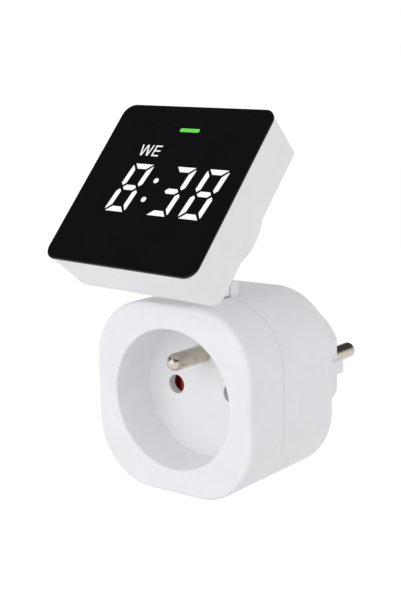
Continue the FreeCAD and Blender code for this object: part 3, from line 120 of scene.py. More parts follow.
# Studio: place of the lamp, and the stretches of a direction's X or Z over which the light changes
KEY_PLACE = Vector((-0.30, -1.20, 0.42))
FROM_LEFT_TO_RIGHT = (-0.2, 1.0)
FROM_SIDE_TO_TOP = (0.1, 0.9)
FROM_WALL_TO_CEILING = (0.05, 0.35)
DAYLIGHT_TINT = (0.985, 0.992, 1.0, 1.0)
FLOOR_TONE = (0.86, 0.86, 0.86, 1.0)
WHITE = (1.0, 1.0, 1.0, 1.0)
# Grey laid into inner corners, standing for dust and for painted shade
DUST_AND_SHADE_TONE = (0.30, 0.28, 0.26, 1.0)


def colour_property(name, description, value):
    return FloatVectorProperty(name=name, description=description, default=value, subtype="COLOR",
                               size=3, min=0.0, max=1.0)


def length_property(name, description, value):
    return FloatProperty(name=name, description=description, default=value, subtype="DISTANCE",
                         unit="LENGTH", min=0.0)


def amount_property(name, description, value):
    return FloatProperty(name=name, description=description, default=value, min=0.0)


def count_property(name, description, value):
    return IntProperty(name=name, description=description, default=value, min=1)


class TimerSizes(bpy.types.PropertyGroup):
    spring_wire: length_property("Spring wire", "Thickness of the shutter spring's wire", 0.3 * MM)
    spring_turns: count_property("Spring turns", "Turns of the shutter spring", 8)
    washer_sheet: length_property("Washer sheet", "Thickness of the wavy washer's sheet", 0.2 * MM)
    cable_wires: count_property("Cable wires", "Wires side by side in the flat cable", 5)
    cable_thick: length_property("Cable thickness", "Thickness of the flat cable over a wire", 0.6 * MM)
    leg_count: count_property("Chip legs", "Legs on each side of the clock chip", 8)
    leg_wide: length_property("Leg width", "Width of a leg of the clock chip", 0.38 * MM)
    leg_thick: length_property("Leg thickness", "Thickness of a leg of the clock chip", 0.14 * MM)
    shell_screw_head: length_property("Body screw head", "Thickness of a body screw's head", 1.3 * MM)
    shell_screw_radius: length_property("Body screw radius", "Outer radius of a body screw's thread",
                                        1.25 * MM)
    shell_screw_pitch: length_property("Body screw pitch", "Pitch of a body screw's thread", 1.0 * MM)
    shell_screw_plain: amount_property("Body screw shank", "Plain share of a body screw's shank", 0.55)
    small_screw_head: length_property("Board screw head", "Thickness of a board screw's head", 1.0 * MM)
    small_screw_radius: length_property("Board screw radius", "Outer radius of a board screw's thread",
                                        0.9 * MM)
    small_screw_pitch: length_property("Board screw pitch", "Pitch of a board screw's thread", 0.7 * MM)
    small_screw_plain: amount_property("Board screw shank", "Plain share of a board screw's shank", 0.1)


class TimerColours(bpy.types.PropertyGroup):
    shell: colour_property("Body", "Moulded white of the two body shells", (0.915, 0.921, 0.942))
    head: colour_property("Head and arm", "Moulded white of the head and the arm", (0.950, 0.955, 0.970))
    button: colour_property("Buttons", "White of the push buttons", (0.74, 0.75, 0.77))
    plate: colour_property("Front plate", "Black of the display's plate", (0.0056, 0.0056, 0.0066))
    figures: colour_property("Figures", "Light of the digits, colon and day", (1.0, 1.0, 1.0))
    status: colour_property("Status bar", "Light of the green bar", (0.175, 0.690, 0.104))
    nickel: colour_property("Pins", "Nickel plating of the pins", (0.59, 0.525, 0.445))
    brass: colour_property("Contacts", "Brass of the contacts and the earth strap", (0.72, 0.50, 0.22))
    steel: colour_property("Steel", "Zinc plated steel of screws and springs", (0.58, 0.59, 0.60))
    shutter: colour_property("Shutter", "Red of the safety shutter", (0.34, 0.020, 0.028))
    guide: colour_property("Shutter guide", "Grey of the shutter guide", (0.34, 0.35, 0.36))
    board: colour_property("Circuit boards", "Green solder mask", (0.018, 0.105, 0.040))
    film: colour_property("Film capacitor", "Yellow case", (0.62, 0.40, 0.035))
    sleeve: colour_property("Can capacitor", "Dark shrink sleeve", (0.014, 0.018, 0.030))
    ivory: colour_property("Connectors", "Ivory plastic and ceramic", (0.62, 0.58, 0.47))
    part: colour_property("Dark parts", "Black of the relay, chip and switches", (0.016, 0.016, 0.018))
    cable: colour_property("Flat cable", "Grey of the flat cable", (0.19, 0.20, 0.215))


class TimerFinish(bpy.types.PropertyGroup):
    grain_pitch: length_property("Grain pitch", "Spacing of the moulded surface's grain", 0.22 * MM)
    grain_depth: length_property("Grain depth", "Depth of the moulded surface's grain", 0.004 * MM)
    mottle_pitch: length_property("Mottle pitch", "Size of the faint patches of tone", 9.0 * MM)
    streak_pitch: length_property("Streak pitch", "Spacing of drawn and turned streaks", 0.12 * MM)
    tarnish: amount_property("Tarnish", "Share of a metal surface that has dulled", 0.35)
    # Amount of dust and painted shade laid into inner corners
    dust_and_shade: amount_property("Dust And Shade", "Greying of inner corners", 0.10)


class TimerStage(bpy.types.PropertyGroup):
    lens: FloatProperty(name="Lens", description="Focal length in millimetres", default=72.16,
                        subtype="DISTANCE_CAMERA", min=1.0)
    floor_drop: length_property("Floor drop", "Depth of the floor below the body", 0.11)
    floor_size: length_property("Floor size", "Width of the floor", 12.0)
    daylight: amount_property("Ambient light", "Ambient light from the left and the sides", 0.825)
    overhead: amount_property("Overhead share", "Ambient light from above, as a share of the sides'", 0.72)
    right_share: amount_property("Right share", "Ambient light from the right, against the left", 1.26)
    ceiling: amount_property("Ceiling", "Level of the dark ceiling that gloss and metal mirror", 0.06)
    floor_lift: amount_property("Floor lift", "Brightening of the floor as it is seen", 0.41)
    key_power: amount_property("Key lamp", "Power of the large soft lamp in watts", 3.9)
    key_size: length_property("Key lamp size", "Width of the large soft lamp", 1.1)


def fill(tree, node, inputs):
    """Fill or link a node's inputs, given by name or number."""
    for name, value in inputs.items():
        socket = node.inputs[name]
        if isinstance(value, bpy.types.NodeSocket):
            tree.links.new(value, socket)
        else:
            socket.default_value = value


def add(tree, kind, inputs=None, **settings):
    """Add a node, set its properties and fill its inputs."""
    made = tree.nodes.new(kind)
    for name, value in settings.items():
        setattr(made, name, value)
    fill(tree, made, inputs or {})
    return made


def maths(tree, operation, first, second=0.0, third=0.0):
    """Output of a Math node that is fed up to three values."""
    return add(tree, "ShaderNodeMath", {0: first, 1: second, 2: third}, operation=operation).outputs[0]


def ramp(tree, value, low, high, start, end):
    """Carry a value from the range low..high to start..end, clamped."""
    inputs = {"Value": value, "From Min": low, "From Max": high, "To Min": start, "To Max": end}
    return add(tree, "ShaderNodeMapRange", inputs).outputs["Result"]


def blend(tree, share, first, second):
    """Value between a first and a second one."""
    return add(tree, "ShaderNodeMix", {0: share, 2: first, 3: second}).outputs[0]


def blend_colours(tree, share, first, second):
    """Colour between a first and a second one."""
    made = add(tree, "ShaderNodeMix", {0: share, 6: first, 7: second}, data_type="RGBA")
    return made.outputs[2]


def opaque(colour):
    """Colour with full alpha."""
    return (*colour, 1.0)


def darker(colour, share):
    """Opaque colour with a share of another one's light."""
    return opaque([part * share for part in colour])


def start_group(name, inputs, outputs):
    """Empty shader node group with named sockets; gives its tree and its two ends."""
    tree = bpy.data.node_groups.new(name, "ShaderNodeTree")
    kinds = {"vector": "NodeSocketVector", "value": "NodeSocketFloat", "colour": "NodeSocketColor"}
    for label, kind, value in inputs:
        socket = tree.interface.new_socket(label, in_out="INPUT", socket_type=kinds[kind])
        if value is not None:
            socket.default_value = value
    for label, kind in outputs:
        tree.interface.new_socket(label, in_out="OUTPUT", socket_type=kinds[kind])
    return tree, tree.nodes.new("NodeGroupInput").outputs, tree.nodes.new("NodeGroupOutput").inputs


def grain_group():
    """Spark-eroded mould grain: fine pits over a soft fine noise, as a height from 0 to 1."""
    tree, given, wanted = start_group(
        "Mould Grain", [("Coordinates", "vector", None), ("Pitch", "value", 0.0002)],
        [("Height", "value")])
    pit_share, height_range = 0.5, (0.3, 1.1)
    per_metre = maths(tree, "DIVIDE", 1.0, given["Pitch"])
    pits = add(tree, "ShaderNodeTexVoronoi", {"Vector": given["Coordinates"], "Scale": per_metre})
    soft = add(tree, "ShaderNodeTexNoise",
               {"Vector": given["Coordinates"], "Scale": per_metre, "Detail": 3.0, "Roughness": 0.6})
    height = maths(tree, "MULTIPLY_ADD", pits.outputs["Distance"], pit_share, soft.outputs["Fac"])
    tree.links.new(ramp(tree, height, *height_range, 0.0, 1.0), wanted["Height"])
    return tree


def tone_group():
    """Two near tones in broad faint patches, with a roughness that drifts along with them."""
    tree, given, wanted = start_group(
        "Drifting Tone",
        [("Coordinates", "vector", None), ("Pitch", "value", 0.009), ("Light", "colour", None),
         ("Deep", "colour", None), ("Smooth", "value", 0.4), ("Rough", "value", 0.5)],
        [("Colour", "colour"), ("Roughness", "value")])
    patch_edge, finer, fine_share = (0.32, 0.68), 7.0, 0.4
    per_metre = maths(tree, "DIVIDE", 1.0, given["Pitch"])
    broad = add(tree, "ShaderNodeTexNoise",
                {"Vector": given["Coordinates"], "Scale": per_metre, "Detail": 4.0, "Roughness": 0.62})
    share = ramp(tree, broad.outputs["Fac"], *patch_edge, 0.0, 1.0)
    tree.links.new(blend_colours(tree, share, given["Light"], given["Deep"]), wanted["Colour"])
    fine = add(tree, "ShaderNodeTexNoise",
               {"Vector": given["Coordinates"], "Scale": maths(tree, "MULTIPLY", per_metre, finer),
                "Detail": 2.0})
    broad_part = maths(tree, "MULTIPLY", share, 1 - fine_share)
    mixed = maths(tree, "MULTIPLY_ADD", fine.outputs["Fac"], fine_share, broad_part)
    tree.links.new(blend(tree, mixed, given["Smooth"], given["Rough"]), wanted["Roughness"])
    return tree


def dust_and_shade_group():
    """Painted shade mixed with dust: another colour where the surface lies close to another one, as in
    seams and inner corners.
    """
    tree, given, wanted = start_group(
        "Corner Dust And Painted Shade",
        [("Colour", "colour", None), ("Dust And Shade", "colour", DUST_AND_SHADE_TONE), ("Amount", "value", 0.1),
         ("Reach", "value", 0.0015), ("Closed", "value", 0.25), ("Open", "value", 0.95)],
        [("Colour", "colour")])
    near = add(tree, "ShaderNodeAmbientOcclusion", {"Distance": given["Reach"]}, samples=6)
    closed = ramp(tree, near.outputs["AO"], given["Closed"], given["Open"], 1.0, 0.0)
    share = maths(tree, "MULTIPLY", closed, given["Amount"])
    tree.links.new(blend_colours(tree, share, given["Colour"], given["Dust And Shade"]), wanted["Colour"])
    return tree


def streak_group():
    """Fine lines left by drawing or turning: noise stretched out along one direction."""
    tree, given, wanted = start_group(
        "Drawn Streaks",
        [("Coordinates", "vector", None), ("Pitch", "value", 0.0001),
         ("Stretch", "vector", (1.0, 0.04, 1.0))],
        [("Height", "value")])
    squeezed = add(tree, "ShaderNodeVectorMath", {0: given["Coordinates"], 1: given["Stretch"]},
                   operation="MULTIPLY").outputs[0]
    per_metre = maths(tree, "DIVIDE", 1.0, given["Pitch"])
    lines = add(tree, "ShaderNodeTexNoise", {"Vector": squeezed, "Scale": per_metre, "Detail": 2.0})
    tree.links.new(lines.outputs["Fac"], wanted["Height"])
    return tree


def tarnish_group():
    """Cloudy dull patches and small dark specks over bright plating."""
    tree, given, wanted = start_group(
        "Tarnish",
        [("Coordinates", "vector", None), ("Pitch", "value", 0.003), ("Amount", "value", 0.35),
         ("Bright", "colour", None), ("Dull", "colour", None), ("Smooth", "value", 0.2),
         ("Rough", "value", 0.45)],
        [("Colour", "colour"), ("Roughness", "value")])
    patch_edge, speck_edge, finer = (0.05, 0.32), (0.08, 0.22), 3.2
    per_metre = maths(tree, "DIVIDE", 1.0, given["Pitch"])
    cloud = add(tree, "ShaderNodeTexNoise",
                {"Vector": given["Coordinates"], "Scale": per_metre, "Detail": 6.0, "Roughness": 0.68})
    specks = add(tree, "ShaderNodeTexVoronoi",
                 {"Vector": given["Coordinates"], "Scale": maths(tree, "MULTIPLY", per_metre, finer)})
    level = maths(tree, "MULTIPLY", maths(tree, "SUBTRACT", 1.0, given["Amount"]), 0.5)
    patch = ramp(tree, maths(tree, "SUBTRACT", cloud.outputs["Fac"], level), *patch_edge, 0.0, 1.0)
    dots = ramp(tree, specks.outputs["Distance"], *speck_edge, 1.0, 0.0)
    share = maths(tree, "MAXIMUM", patch, maths(tree, "MULTIPLY", dots, given["Amount"]))
    tree.links.new(blend_colours(tree, share, given["Bright"], given["Dull"]), wanted["Colour"])
    tree.links.new(blend(tree, share, given["Smooth"], given["Rough"]), wanted["Roughness"])
    return tree


def route_group():
    """Copper of a circuit board: straight tracks, across or upright patch by patch, and round pads.

    Half widths of tracks and radii of pads are shares of their own spacing, inside and outside of
    a soft edge.
    """
    tree, given, wanted = start_group(
        "Board Routes", [("Coordinates", "vector", None), ("Pitch", "value", 0.0014)],
        [("Track", "value")])
    patches_a_pitch, pads_a_pitch = 0.17, 0.4
    track_edge, pad_edge = (0.12, 0.16), (0.16, 0.19)
    per_metre = maths(tree, "DIVIDE", 1.0, given["Pitch"])
    stretched = add(tree, "ShaderNodeVectorMath", {0: given["Coordinates"], 3: per_metre},
                    operation="SCALE").outputs[0]
    patches = add(tree, "ShaderNodeTexVoronoi",
                  {"Vector": stretched, "Scale": patches_a_pitch, "Randomness": 0.45},
                  distance="CHEBYCHEV")
    chance = add(tree, "ShaderNodeSeparateXYZ", {"Vector": patches.outputs["Color"]}).outputs["X"]
    parts = add(tree, "ShaderNodeSeparateXYZ", {"Vector": stretched}).outputs
    across, upright = (maths(tree, "PINGPONG", parts[axis], 0.5) for axis in "XZ")
    line = blend(tree, maths(tree, "GREATER_THAN", chance, 0.5), across, upright)
    track = ramp(tree, line, *track_edge, 1.0, 0.0)
    spots = add(tree, "ShaderNodeTexVoronoi",
                {"Vector": stretched, "Scale": pads_a_pitch, "Randomness": 0.6})
    pads = ramp(tree, spots.outputs["Distance"], *pad_edge, 1.0, 0.0)
    tree.links.new(maths(tree, "MAXIMUM", track, pads), wanted["Track"])
    return tree


GROUPS = {}


def place(tree, name, inputs):
    """Put one of the shared effects into a material, with its own values; gives its outputs."""
    return add(tree, "ShaderNodeGroup", inputs, node_tree=GROUPS[name]).outputs


def start_material(name):
    """Material with a plain Principled surface; gives it, its tree, its shader and the coordinates."""
    material = bpy.data.materials.new(name)
    material.use_nodes = True
    tree = material.node_tree
    shader = tree.nodes["Principled BSDF"]
    coordinates = tree.nodes.new("ShaderNodeTexCoord").outputs["Object"]
    return material, tree, shader, coordinates


def raise_surface(tree, shader, height, depth):
    """Bump of a real depth in metres from a height that runs from 0 to 1."""
    bump = add(tree, "ShaderNodeBump", {"Height": height, "Distance": depth, "Strength": 1.0})
    fill(tree, shader, {"Normal": bump.outputs["Normal"]})


def moulded(name, colour, smooth=0.40, rough=0.52, depth_share=1.0, specular=0.5, deep=0.965,
            corners=None):
    """Moulded plastic: drifting tone, dust and painted shade in the corners, and mould grain.

    corners holds values for the corner dust and painted shade other than its own.
    """
    finish = bpy.context.scene.timer_finish
    material, tree, shader, coordinates = start_material(name)
    tone = place(tree, "Drifting Tone", {
        "Coordinates": coordinates, "Pitch": finish.mottle_pitch, "Light": opaque(colour),
        "Deep": darker(colour, deep), "Smooth": smooth, "Rough": rough})
    # Dust and painted shade: the colour greys where the surface is closed in, where shade falls
    dusted_and_shaded = place(tree, "Corner Dust And Painted Shade", {
        "Colour": tone["Colour"], "Amount": finish.dust_and_shade, **(corners or {})})
    grain = place(tree, "Mould Grain", {"Coordinates": coordinates, "Pitch": finish.grain_pitch})
    fill(tree, shader, {"Base Color": dusted_and_shaded["Colour"], "Roughness": tone["Roughness"],
                        "Specular IOR Level": specular})
    raise_surface(tree, shader, grain["Height"], finish.grain_depth * depth_share)
    return material


def metal(name, colour, dull, smooth, rough, stretch, tarnish=None):
    """Plated or bare metal: bright with dull clouds, specks and drawn streaks."""
    finish = bpy.context.scene.timer_finish
    streak_depth = 0.25 * finish.grain_depth
    material, tree, shader, coordinates = start_material(name)
    surface = place(tree, "Tarnish", {
        "Coordinates": coordinates, "Amount": finish.tarnish if tarnish is None else tarnish,
        "Bright": opaque(colour), "Dull": darker(colour, dull), "Smooth": smooth, "Rough": rough})
    streaks = place(tree, "Drawn Streaks", {
        "Coordinates": coordinates, "Pitch": finish.streak_pitch, "Stretch": stretch})
    fill(tree, shader, {"Base Color": surface["Colour"], "Roughness": surface["Roughness"],
                        "Metallic": 1.0})
    raise_surface(tree, shader, streaks["Height"], streak_depth)
    return material


def lit(name, colour):
    """Lit plastic window: even light with a faint drift in its level."""
    material, tree, shader, coordinates = start_material(name)
    tone = place(tree, "Drifting Tone", {
        "Coordinates": coordinates, "Pitch": 4.0 * MM, "Light": opaque(colour),
        "Deep": darker(colour, 0.95), "Smooth": 0.25, "Rough": 0.35})
    fill(tree, shader, {"Emission Color": tone["Colour"], "Emission Strength": 1.0,
                        "Roughness": tone["Roughness"], "Base Color": darker(colour, 0.04),
                        "Specular IOR Level": 0.1})
    return material


def circuit_board(name, colour):
    """Green solder mask, paler and raised over the copper tracks and pads."""
    finish = bpy.context.scene.timer_finish
    copper_depth, copper_shows = 0.035 * MM, 0.7
    material, tree, shader, coordinates = start_material(name)
    tone = place(tree, "Drifting Tone", {
        "Coordinates": coordinates, "Pitch": finish.mottle_pitch, "Light": opaque(colour),
        "Deep": darker(colour, 0.8), "Smooth": 0.22, "Rough": 0.34})
    track = place(tree, "Board Routes", {"Coordinates": coordinates})["Track"]
    over_copper = opaque([min(1.0, 1.9 * part + 0.01) for part in colour])
    share = maths(tree, "MULTIPLY", track, copper_shows)
    mixed = blend_colours(tree, share, tone["Colour"], over_copper)
    fill(tree, shader, {"Base Color": mixed, "Roughness": tone["Roughness"]})
    raise_surface(tree, shader, track, copper_depth)
    return material


def glossy_plate(name, colour):
    """Polished acrylic plate: near black, with faint swirls in its polish."""
    material, tree, shader, coordinates = start_material(name)
    tone = place(tree, "Drifting Tone", {
        "Coordinates": coordinates, "Pitch": 14.0 * MM, "Light": opaque(colour),
        "Deep": darker(colour, 0.8), "Smooth": 0.10, "Rough": 0.17})
    fill(tree, shader, {"Base Color": tone["Colour"], "Roughness": tone["Roughness"],
                        "Specular IOR Level": 0.22})
    return material


def give_finish(slot_name, make, colour, **values):
    """Make a slot's material and put it on every CAD node that the record gives this slot."""
    users = [name for name, slot in SLOT_OF.items() if slot == slot_name]
    if not users:
        raise RuntimeError(f"no node has the slot {slot_name}")
    material = make(slot_name, colour, **values)
    for name in users:
        for holder in frame["nodes"][name].material_slots:
            holder.material = material


def add_object(name, data):
    """Put an object with this mesh, lamp or camera into the scene."""
    made = bpy.data.objects.new(name, data)
    bpy.context.scene.collection.objects.link(made)
    return made


def unit(vector):
    """Vector of length 1 in another one's direction."""
    return np.asarray(vector, dtype=float) / np.linalg.norm(vector)


def axes_along(direction):
    """Three unit vectors at right angles, the last along a direction."""
    aslant = (0.3, 0.5, 0.81)
    along = unit(direction)
    first = unit(np.cross(along, aslant))
    return np.stack((first, np.cross(along, first), along))


def node_points(node):
    """A CAD node's points, as rows."""
    mesh = frame["nodes"][node].data
    flat = np.empty(3 * len(mesh.vertices))
    mesh.vertices.foreach_get("co", flat)
    return flat.reshape(-1, 3)


def span(node, direction):
    """Where a round CAD node starts along its axis, how long it is, its radius, and its axes."""
    axes = axes_along(direction)
    local = node_points(node) @ axes.T
    low, high = local.min(axis=0), local.max(axis=0)
    start = np.array((*(low[:2] + high[:2]) / 2, low[2])) @ axes
    return start, high[2] - low[2], (high[0] - low[0]) / 2, axes


def grid_quads(rows, columns):
    """Quads between the rows and columns of a grid whose last column joins the first."""
    row, column = np.meshgrid(np.arange(rows - 1), np.arange(columns), indexing="ij")
    after = (column + 1) % columns
    corners = (row * columns + column, row * columns + after,
               (row + 1) * columns + after, (row + 1) * columns + column)
    return np.stack(corners, axis=-1).reshape(-1, 4)


def make_piece(name, surfaces, body, slot_name, nodes):
    """Mesh piece from grids of points (rows, columns, 3), each closed round its columns."""
    points, quads, count = [], [], 0
    for grid in surfaces:
        points.append(grid.reshape(-1, 3))
        quads.append(grid_quads(*grid.shape[:2]) + count)
        count += len(points[-1])
    points = np.concatenate(points)
    quads = np.concatenate(quads)
    mesh = bpy.data.meshes.new(name)
    mesh.vertices.add(len(points))
    mesh.vertices.foreach_set("co", points.ravel())
    mesh.loops.add(quads.size)
    mesh.loops.foreach_set("vertex_index", quads.ravel())
    mesh.polygons.add(len(quads))
    mesh.polygons.foreach_set("loop_start", np.arange(0, quads.size, 4))
    mesh.update(calc_edges=True)
    work = bmesh.new()
    work.from_mesh(mesh)
    bmesh.ops.remove_doubles(work, verts=work.verts, dist=MERGE_DISTANCE)
    bmesh.ops.recalc_face_normals(work, faces=work.faces)
    work.to_mesh(mesh)
    work.free()
    mesh.shade_smooth()
    mesh.set_sharp_from_angle(angle=HARD_EDGE)
    mesh.materials.append(bpy.data.materials[slot_name])
    piece = add_object(name, mesh)
    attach(piece, body)
    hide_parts(*nodes)
    return piece


def round_angles(count):
    """Angles of a full turn, as one row."""
    return np.linspace(0.0, 2.0 * np.pi, count, endpoint=False)[None, :]


def turned(start, axes, radius, height, angles):
    """Surface of rings: ring s has radius r(s, t) and height h(s, t) at each angle t round the axis."""
    across, upright = radius * np.cos(angles), radius * np.sin(angles)
    return start + np.stack((across, upright, height * np.ones_like(angles)), axis=-1) @ axes


def capped(values, first, last):
    """A column of profile values with one more before and after it."""
    return np.concatenate(([first], values, [last]))


def smooth_route(corners, step, window):
    """Points along straight runs, each then the mean of its neighbours within a sliding window."""
    corners = np.asarray(corners)
    runs = np.linalg.norm(np.diff(corners, axis=0), axis=1)
    along = np.concatenate(([0.0], np.cumsum(runs)))
    count = int(along[-1] / step)
    places = np.linspace(0.0, along[-1], count)
    half = int(window / (along[-1] / count) / 2)
    line = np.stack([np.interp(places, along, corners[:, axis]) for axis in range(3)], axis=-1)
    first, last = line[0], line[-1]
    before = 2 * first - line[1:half + 1][::-1]
    after = 2 * last - line[-half - 1:-1][::-1]
    padded = np.concatenate((before, line, after))
    kernel = np.ones(2 * half + 1) / (2 * half + 1)
    return np.stack([np.convolve(padded[:, axis], kernel, "valid") for axis in range(3)], axis=-1)


def directions(line):
    """Unit directions of travel at the points of a line."""
    ahead = np.gradient(line, axis=0)
    return ahead / np.linalg.norm(ahead, axis=1, keepdims=True)


def close_ends(line, rings):
    """Rings round a line, with all points of one more ring at its first and at its last point."""
    first, last = (np.repeat(line[[at], None, :], rings.shape[1], axis=1) for at in (0, -1))
    return np.concatenate((first, rings, last))


def sweep(line, across, section):
    """Section of points (a, b) carried along a line: p(s) + a across + b (ahead(s) x across)."""
    out = np.cross(directions(line), across)
    rings = line[:, None, :] + section[None, :, 1:] * out[:, None, :]
    return close_ends(line, rings + section[None, :, :1] * np.array(across))


def screw_head(radius, thick, angles):
    """Radii and heights of a screw's head: a shallow dome with a cross recess and a rounded edge.

    The outer end lies at crown (r / R)^2 + depth m, where m is 1 inside the cross of two bars and
    falls to 0 over their soft edges.
    """
    crown, depth, rim, drop = 0.12 * thick, 0.62 * thick, 0.10 * thick, 0.18 * thick
    reach, half_bar, soft = 0.58 * radius, 0.125 * radius, 0.10 * radius
    dome = 0.9
    r = np.linspace(0.0, dome * radius, 22)[:, None]
    x, y = r * np.cos(angles), r * np.sin(angles)
    bars = []
    for along, across in ((x, y), (y, x)):
        inside = np.clip((half_bar + 0.5 * soft - np.abs(across)) / soft, 0, 1)
        bars.append(inside * np.clip((reach - np.abs(along)) / (2.5 * soft), 0, 1))
    top = crown * (r / radius) ** 2 + depth * np.maximum(*bars)
    turn = np.linspace(0.0, 0.5 * np.pi, 6)[:, None]
    edge_r = radius * (dome + (1 - dome) * np.sin(turn))
    edge_h = rim + drop * (1 - np.cos(turn))
    flat = np.ones_like(angles)
    radii = np.concatenate((r * flat, edge_r * flat, radius * flat))
    heights = np.concatenate((top, edge_h * flat, thick * flat))
    return radii, heights


def screw_shank(first, last, radius, pitch, plain, angles):
    """Radii and heights of a screw's shank: plain at first, then threaded up to a blunt point.

    In the thread the radius is core + (outer - core) v, where v is a V wave of the phase
    height / pitch - angle / 2 pi with its root cut flat.
    """
    core, point = 0.78 * radius, 1.2 * radius
    rings_a_turn, onset, steep, cut = 7, 12, 1.5, 0.4
    steps = max(24, int(rings_a_turn * last / pitch))
    h = np.linspace(first, last, steps)[:, None]
    share = (h - first) / (last - first)
    phase = np.mod(h / pitch - angles / (2 * np.pi), 1.0)
    wave = np.clip(steep * (1 - np.abs(2 * phase - 1)) - cut, 0, 1)
    grown = np.clip((share - plain) * onset, 0, 1)
    radii = radius * (1 - grown) + grown * (core + (radius - core) * wave)
    return radii * np.clip((last - h) / point, 0, 1) ** 0.5, h * np.ones_like(angles)


def threaded_screw(name, node, direction, body, head, outer, pitch, plain):
    """Screw turned round its axis: its head's rings, then its shank's."""
    start, length, radius, axes = span(node, direction)
    angles = round_angles(72)
    head_radii, head_heights = screw_head(radius, head, angles)
    shank_radii, shank_heights = screw_shank(head, length, outer, pitch, plain, angles)
    radii = np.concatenate((head_radii, shank_radii))
    heights = np.concatenate((head_heights, shank_heights))
    make_piece(name, [turned(start, axes, radii, heights, angles)], body, "steel", [node])


def coil_spring(sizes):
    """Compression spring: a circle swept along (R cos t, R sin t, z(t)), with its end turns closed."""
    start, length, radius, axes = span("shutter_spring", (0, 0, 1))
    wire = sizes.spring_wire / 2
    reach = radius - wire
    last = float(sizes.spring_turns)
    turns = np.linspace(0.0, last, 40 * sizes.spring_turns + 1)
    end_turn = 3.1 * wire
    lift = np.interp(turns, [0, 1, last - 1, last], [wire, end_turn, length - end_turn, length - wire])
    t = 2 * np.pi * turns
    centre = np.stack((reach * np.cos(t), reach * np.sin(t), lift), axis=-1)
    out = np.stack((np.cos(t), np.sin(t), np.zeros_like(t)), axis=-1)
    side = np.cross(directions(centre), out)
    around = round_angles(12)[0][None, :, None]
    circle = np.cos(around) * out[:, None, :] + np.sin(around) * side[:, None, :]
    surface = start + close_ends(centre, centre[:, None, :] + wire * circle) @ axes
    coil = make_piece("shutter_coil", [surface], "base", "steel", ["shutter_spring"])
    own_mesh(coil)


def wavy_washer(sizes):
    """Ring of thin flat section whose height is A (1 + cos 3 t) at the angle t round the swivel axis."""
    start, thick, radius, axes = span("wave_washer", SWIVEL_AXIS)
    sheet = sizes.washer_sheet
    hole = np.linalg.norm((node_points("wave_washer") - start) @ axes[:2].T, axis=1).min()
    corner = 0.25 * sheet
    r = np.array((hole, hole + corner, radius - corner, radius, radius, radius - corner,
                  hole + corner, hole, hole))
    h = np.array((corner, 0, 0, corner, sheet - corner, sheet, sheet, sheet - corner, corner))
    angles = round_angles(120)
    wave = (thick - sheet) / 2 * (1 + np.cos(3 * angles))
    surface = turned(start, axes, r[:, None], h[:, None] + wave, angles)
    make_piece("wavy_washer", [surface], "arm", "steel", ["wave_washer"])


def flat_cable(sizes):
    """Flat cable of n round wires side by side, carried along its route.

    Its section's half height at x in the width w is (1 - v + v |sin(pi n (x / w + 1 / 2))|) t / 2,
    where v is the depth of the valleys between the wires as a share of the thickness t.
    """
    low, high = (np.array(corner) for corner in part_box("arm_ribbon"))
    wide, thick, valley = high[0] - low[0], sizes.cable_thick, 0.4
    rear = high[1] - thick / 2
    swivel, forward = np.array(SWIVEL_PLACE), unit(SWIVEL_AXIS)
    corners = [(0, rear, low[2]), (0, rear, swivel[2] - CABLE_BEND),
               swivel - CABLE_BEHIND_SWIVEL * forward, swivel + CABLE_PAST_SWIVEL * forward]
    line = smooth_route(corners, CABLE_STEP, CABLE_SOFTENING)
    x = np.linspace(-wide / 2, wide / 2, 16 * sizes.cable_wires + 1)
    ridges = np.abs(np.sin(np.pi * sizes.cable_wires * (x / wide + 0.5)))
    half = thick / 2 * (1 - valley + valley * ridges)
    section = np.stack((np.concatenate((x, x[::-1])), np.concatenate((half, -half[::-1]))), axis=-1)
    surface = sweep(line, (1.0, 0.0, 0.0), section)
    make_piece("flat_cable", [surface], "arm", "ribbon_grey", ["arm_ribbon"])


def can_body():
    """Can in its sleeve: a turned profile with a crimped groove near the foot and a rolled top edge.

    Its radius at the height h is R - groove exp(-((h - h0) / w)^2) - foot exp(-h / f), and the
    rolled edge is a little more than half a circle.
    """
    start, length, radius, axes = span("can_capacitor", TO_THE_FACE)
    groove, groove_height, groove_width = 0.42 * MM, 1.7 * MM, 0.45 * MM
    foot, foot_height = 0.25 * MM, 0.15 * MM
    roll = 0.5 * MM
    h = np.linspace(0.0, length - roll, 60)
    side = radius - groove * np.exp(-((h - groove_height) / groove_width) ** 2)
    side = side - foot * np.exp(-h / foot_height)
    turn = np.linspace(0.0, 1.15 * np.pi, 12)
    roll_r = radius - roll * (1 - np.cos(turn))
    roll_h = length - roll + roll * np.sin(turn)
    radii = capped(np.concatenate((side, roll_r)), 0.0, 0.0)
    heights = capped(np.concatenate((h, roll_h)), 0.0, roll_h[-1])
    surface = turned(start, axes, radii[:, None], heights[:, None], round_angles(96))
    make_piece("can_body", [surface], "base", "can_sleeve", ["can_capacitor"])


def can_top():
    """Aluminium end of the can: a low dome with three vent grooves that meet in its middle.

    Its height at the radius r is level + dome (1 - (r / R)^2), less groove exp(-(d / w)^2) at the
    distance d from a groove's line.
    """
    start, length, radius, axes = span("can_capacitor", TO_THE_FACE)
    level, under, dome = length - 0.42 * MM, length - 0.9 * MM, 0.12 * MM
    groove, groove_width, groove_share = 0.14 * MM, 0.13 * MM, 0.8
    edge = radius - 0.85 * MM
    angles = round_angles(120)
    r = np.linspace(0.0, edge, 26)[:, None]
    x, y = r * np.cos(angles), r * np.sin(angles)
    vents = np.zeros_like(x)
    for third in range(3):
        lean = (0.5 + 2 * third / 3) * math.pi
        across = x * math.sin(lean) - y * math.cos(lean)
        along = x * math.cos(lean) + y * math.sin(lean)
        inside = (along > 0) * (along < groove_share * edge)
        vents = np.maximum(vents, np.exp(-(across / groove_width) ** 2) * inside)
    top = level + dome * (1 - (r / edge) ** 2) - groove * vents
    flat = np.ones_like(angles)
    radii = np.concatenate((r * flat, edge * flat, 0.0 * flat))
    heights = np.concatenate((top, under * flat, under * flat))
    surface = turned(start, axes, radii, heights, angles)
    make_piece("can_top", [surface], "base", "cell_steel", ["can_capacitor"])


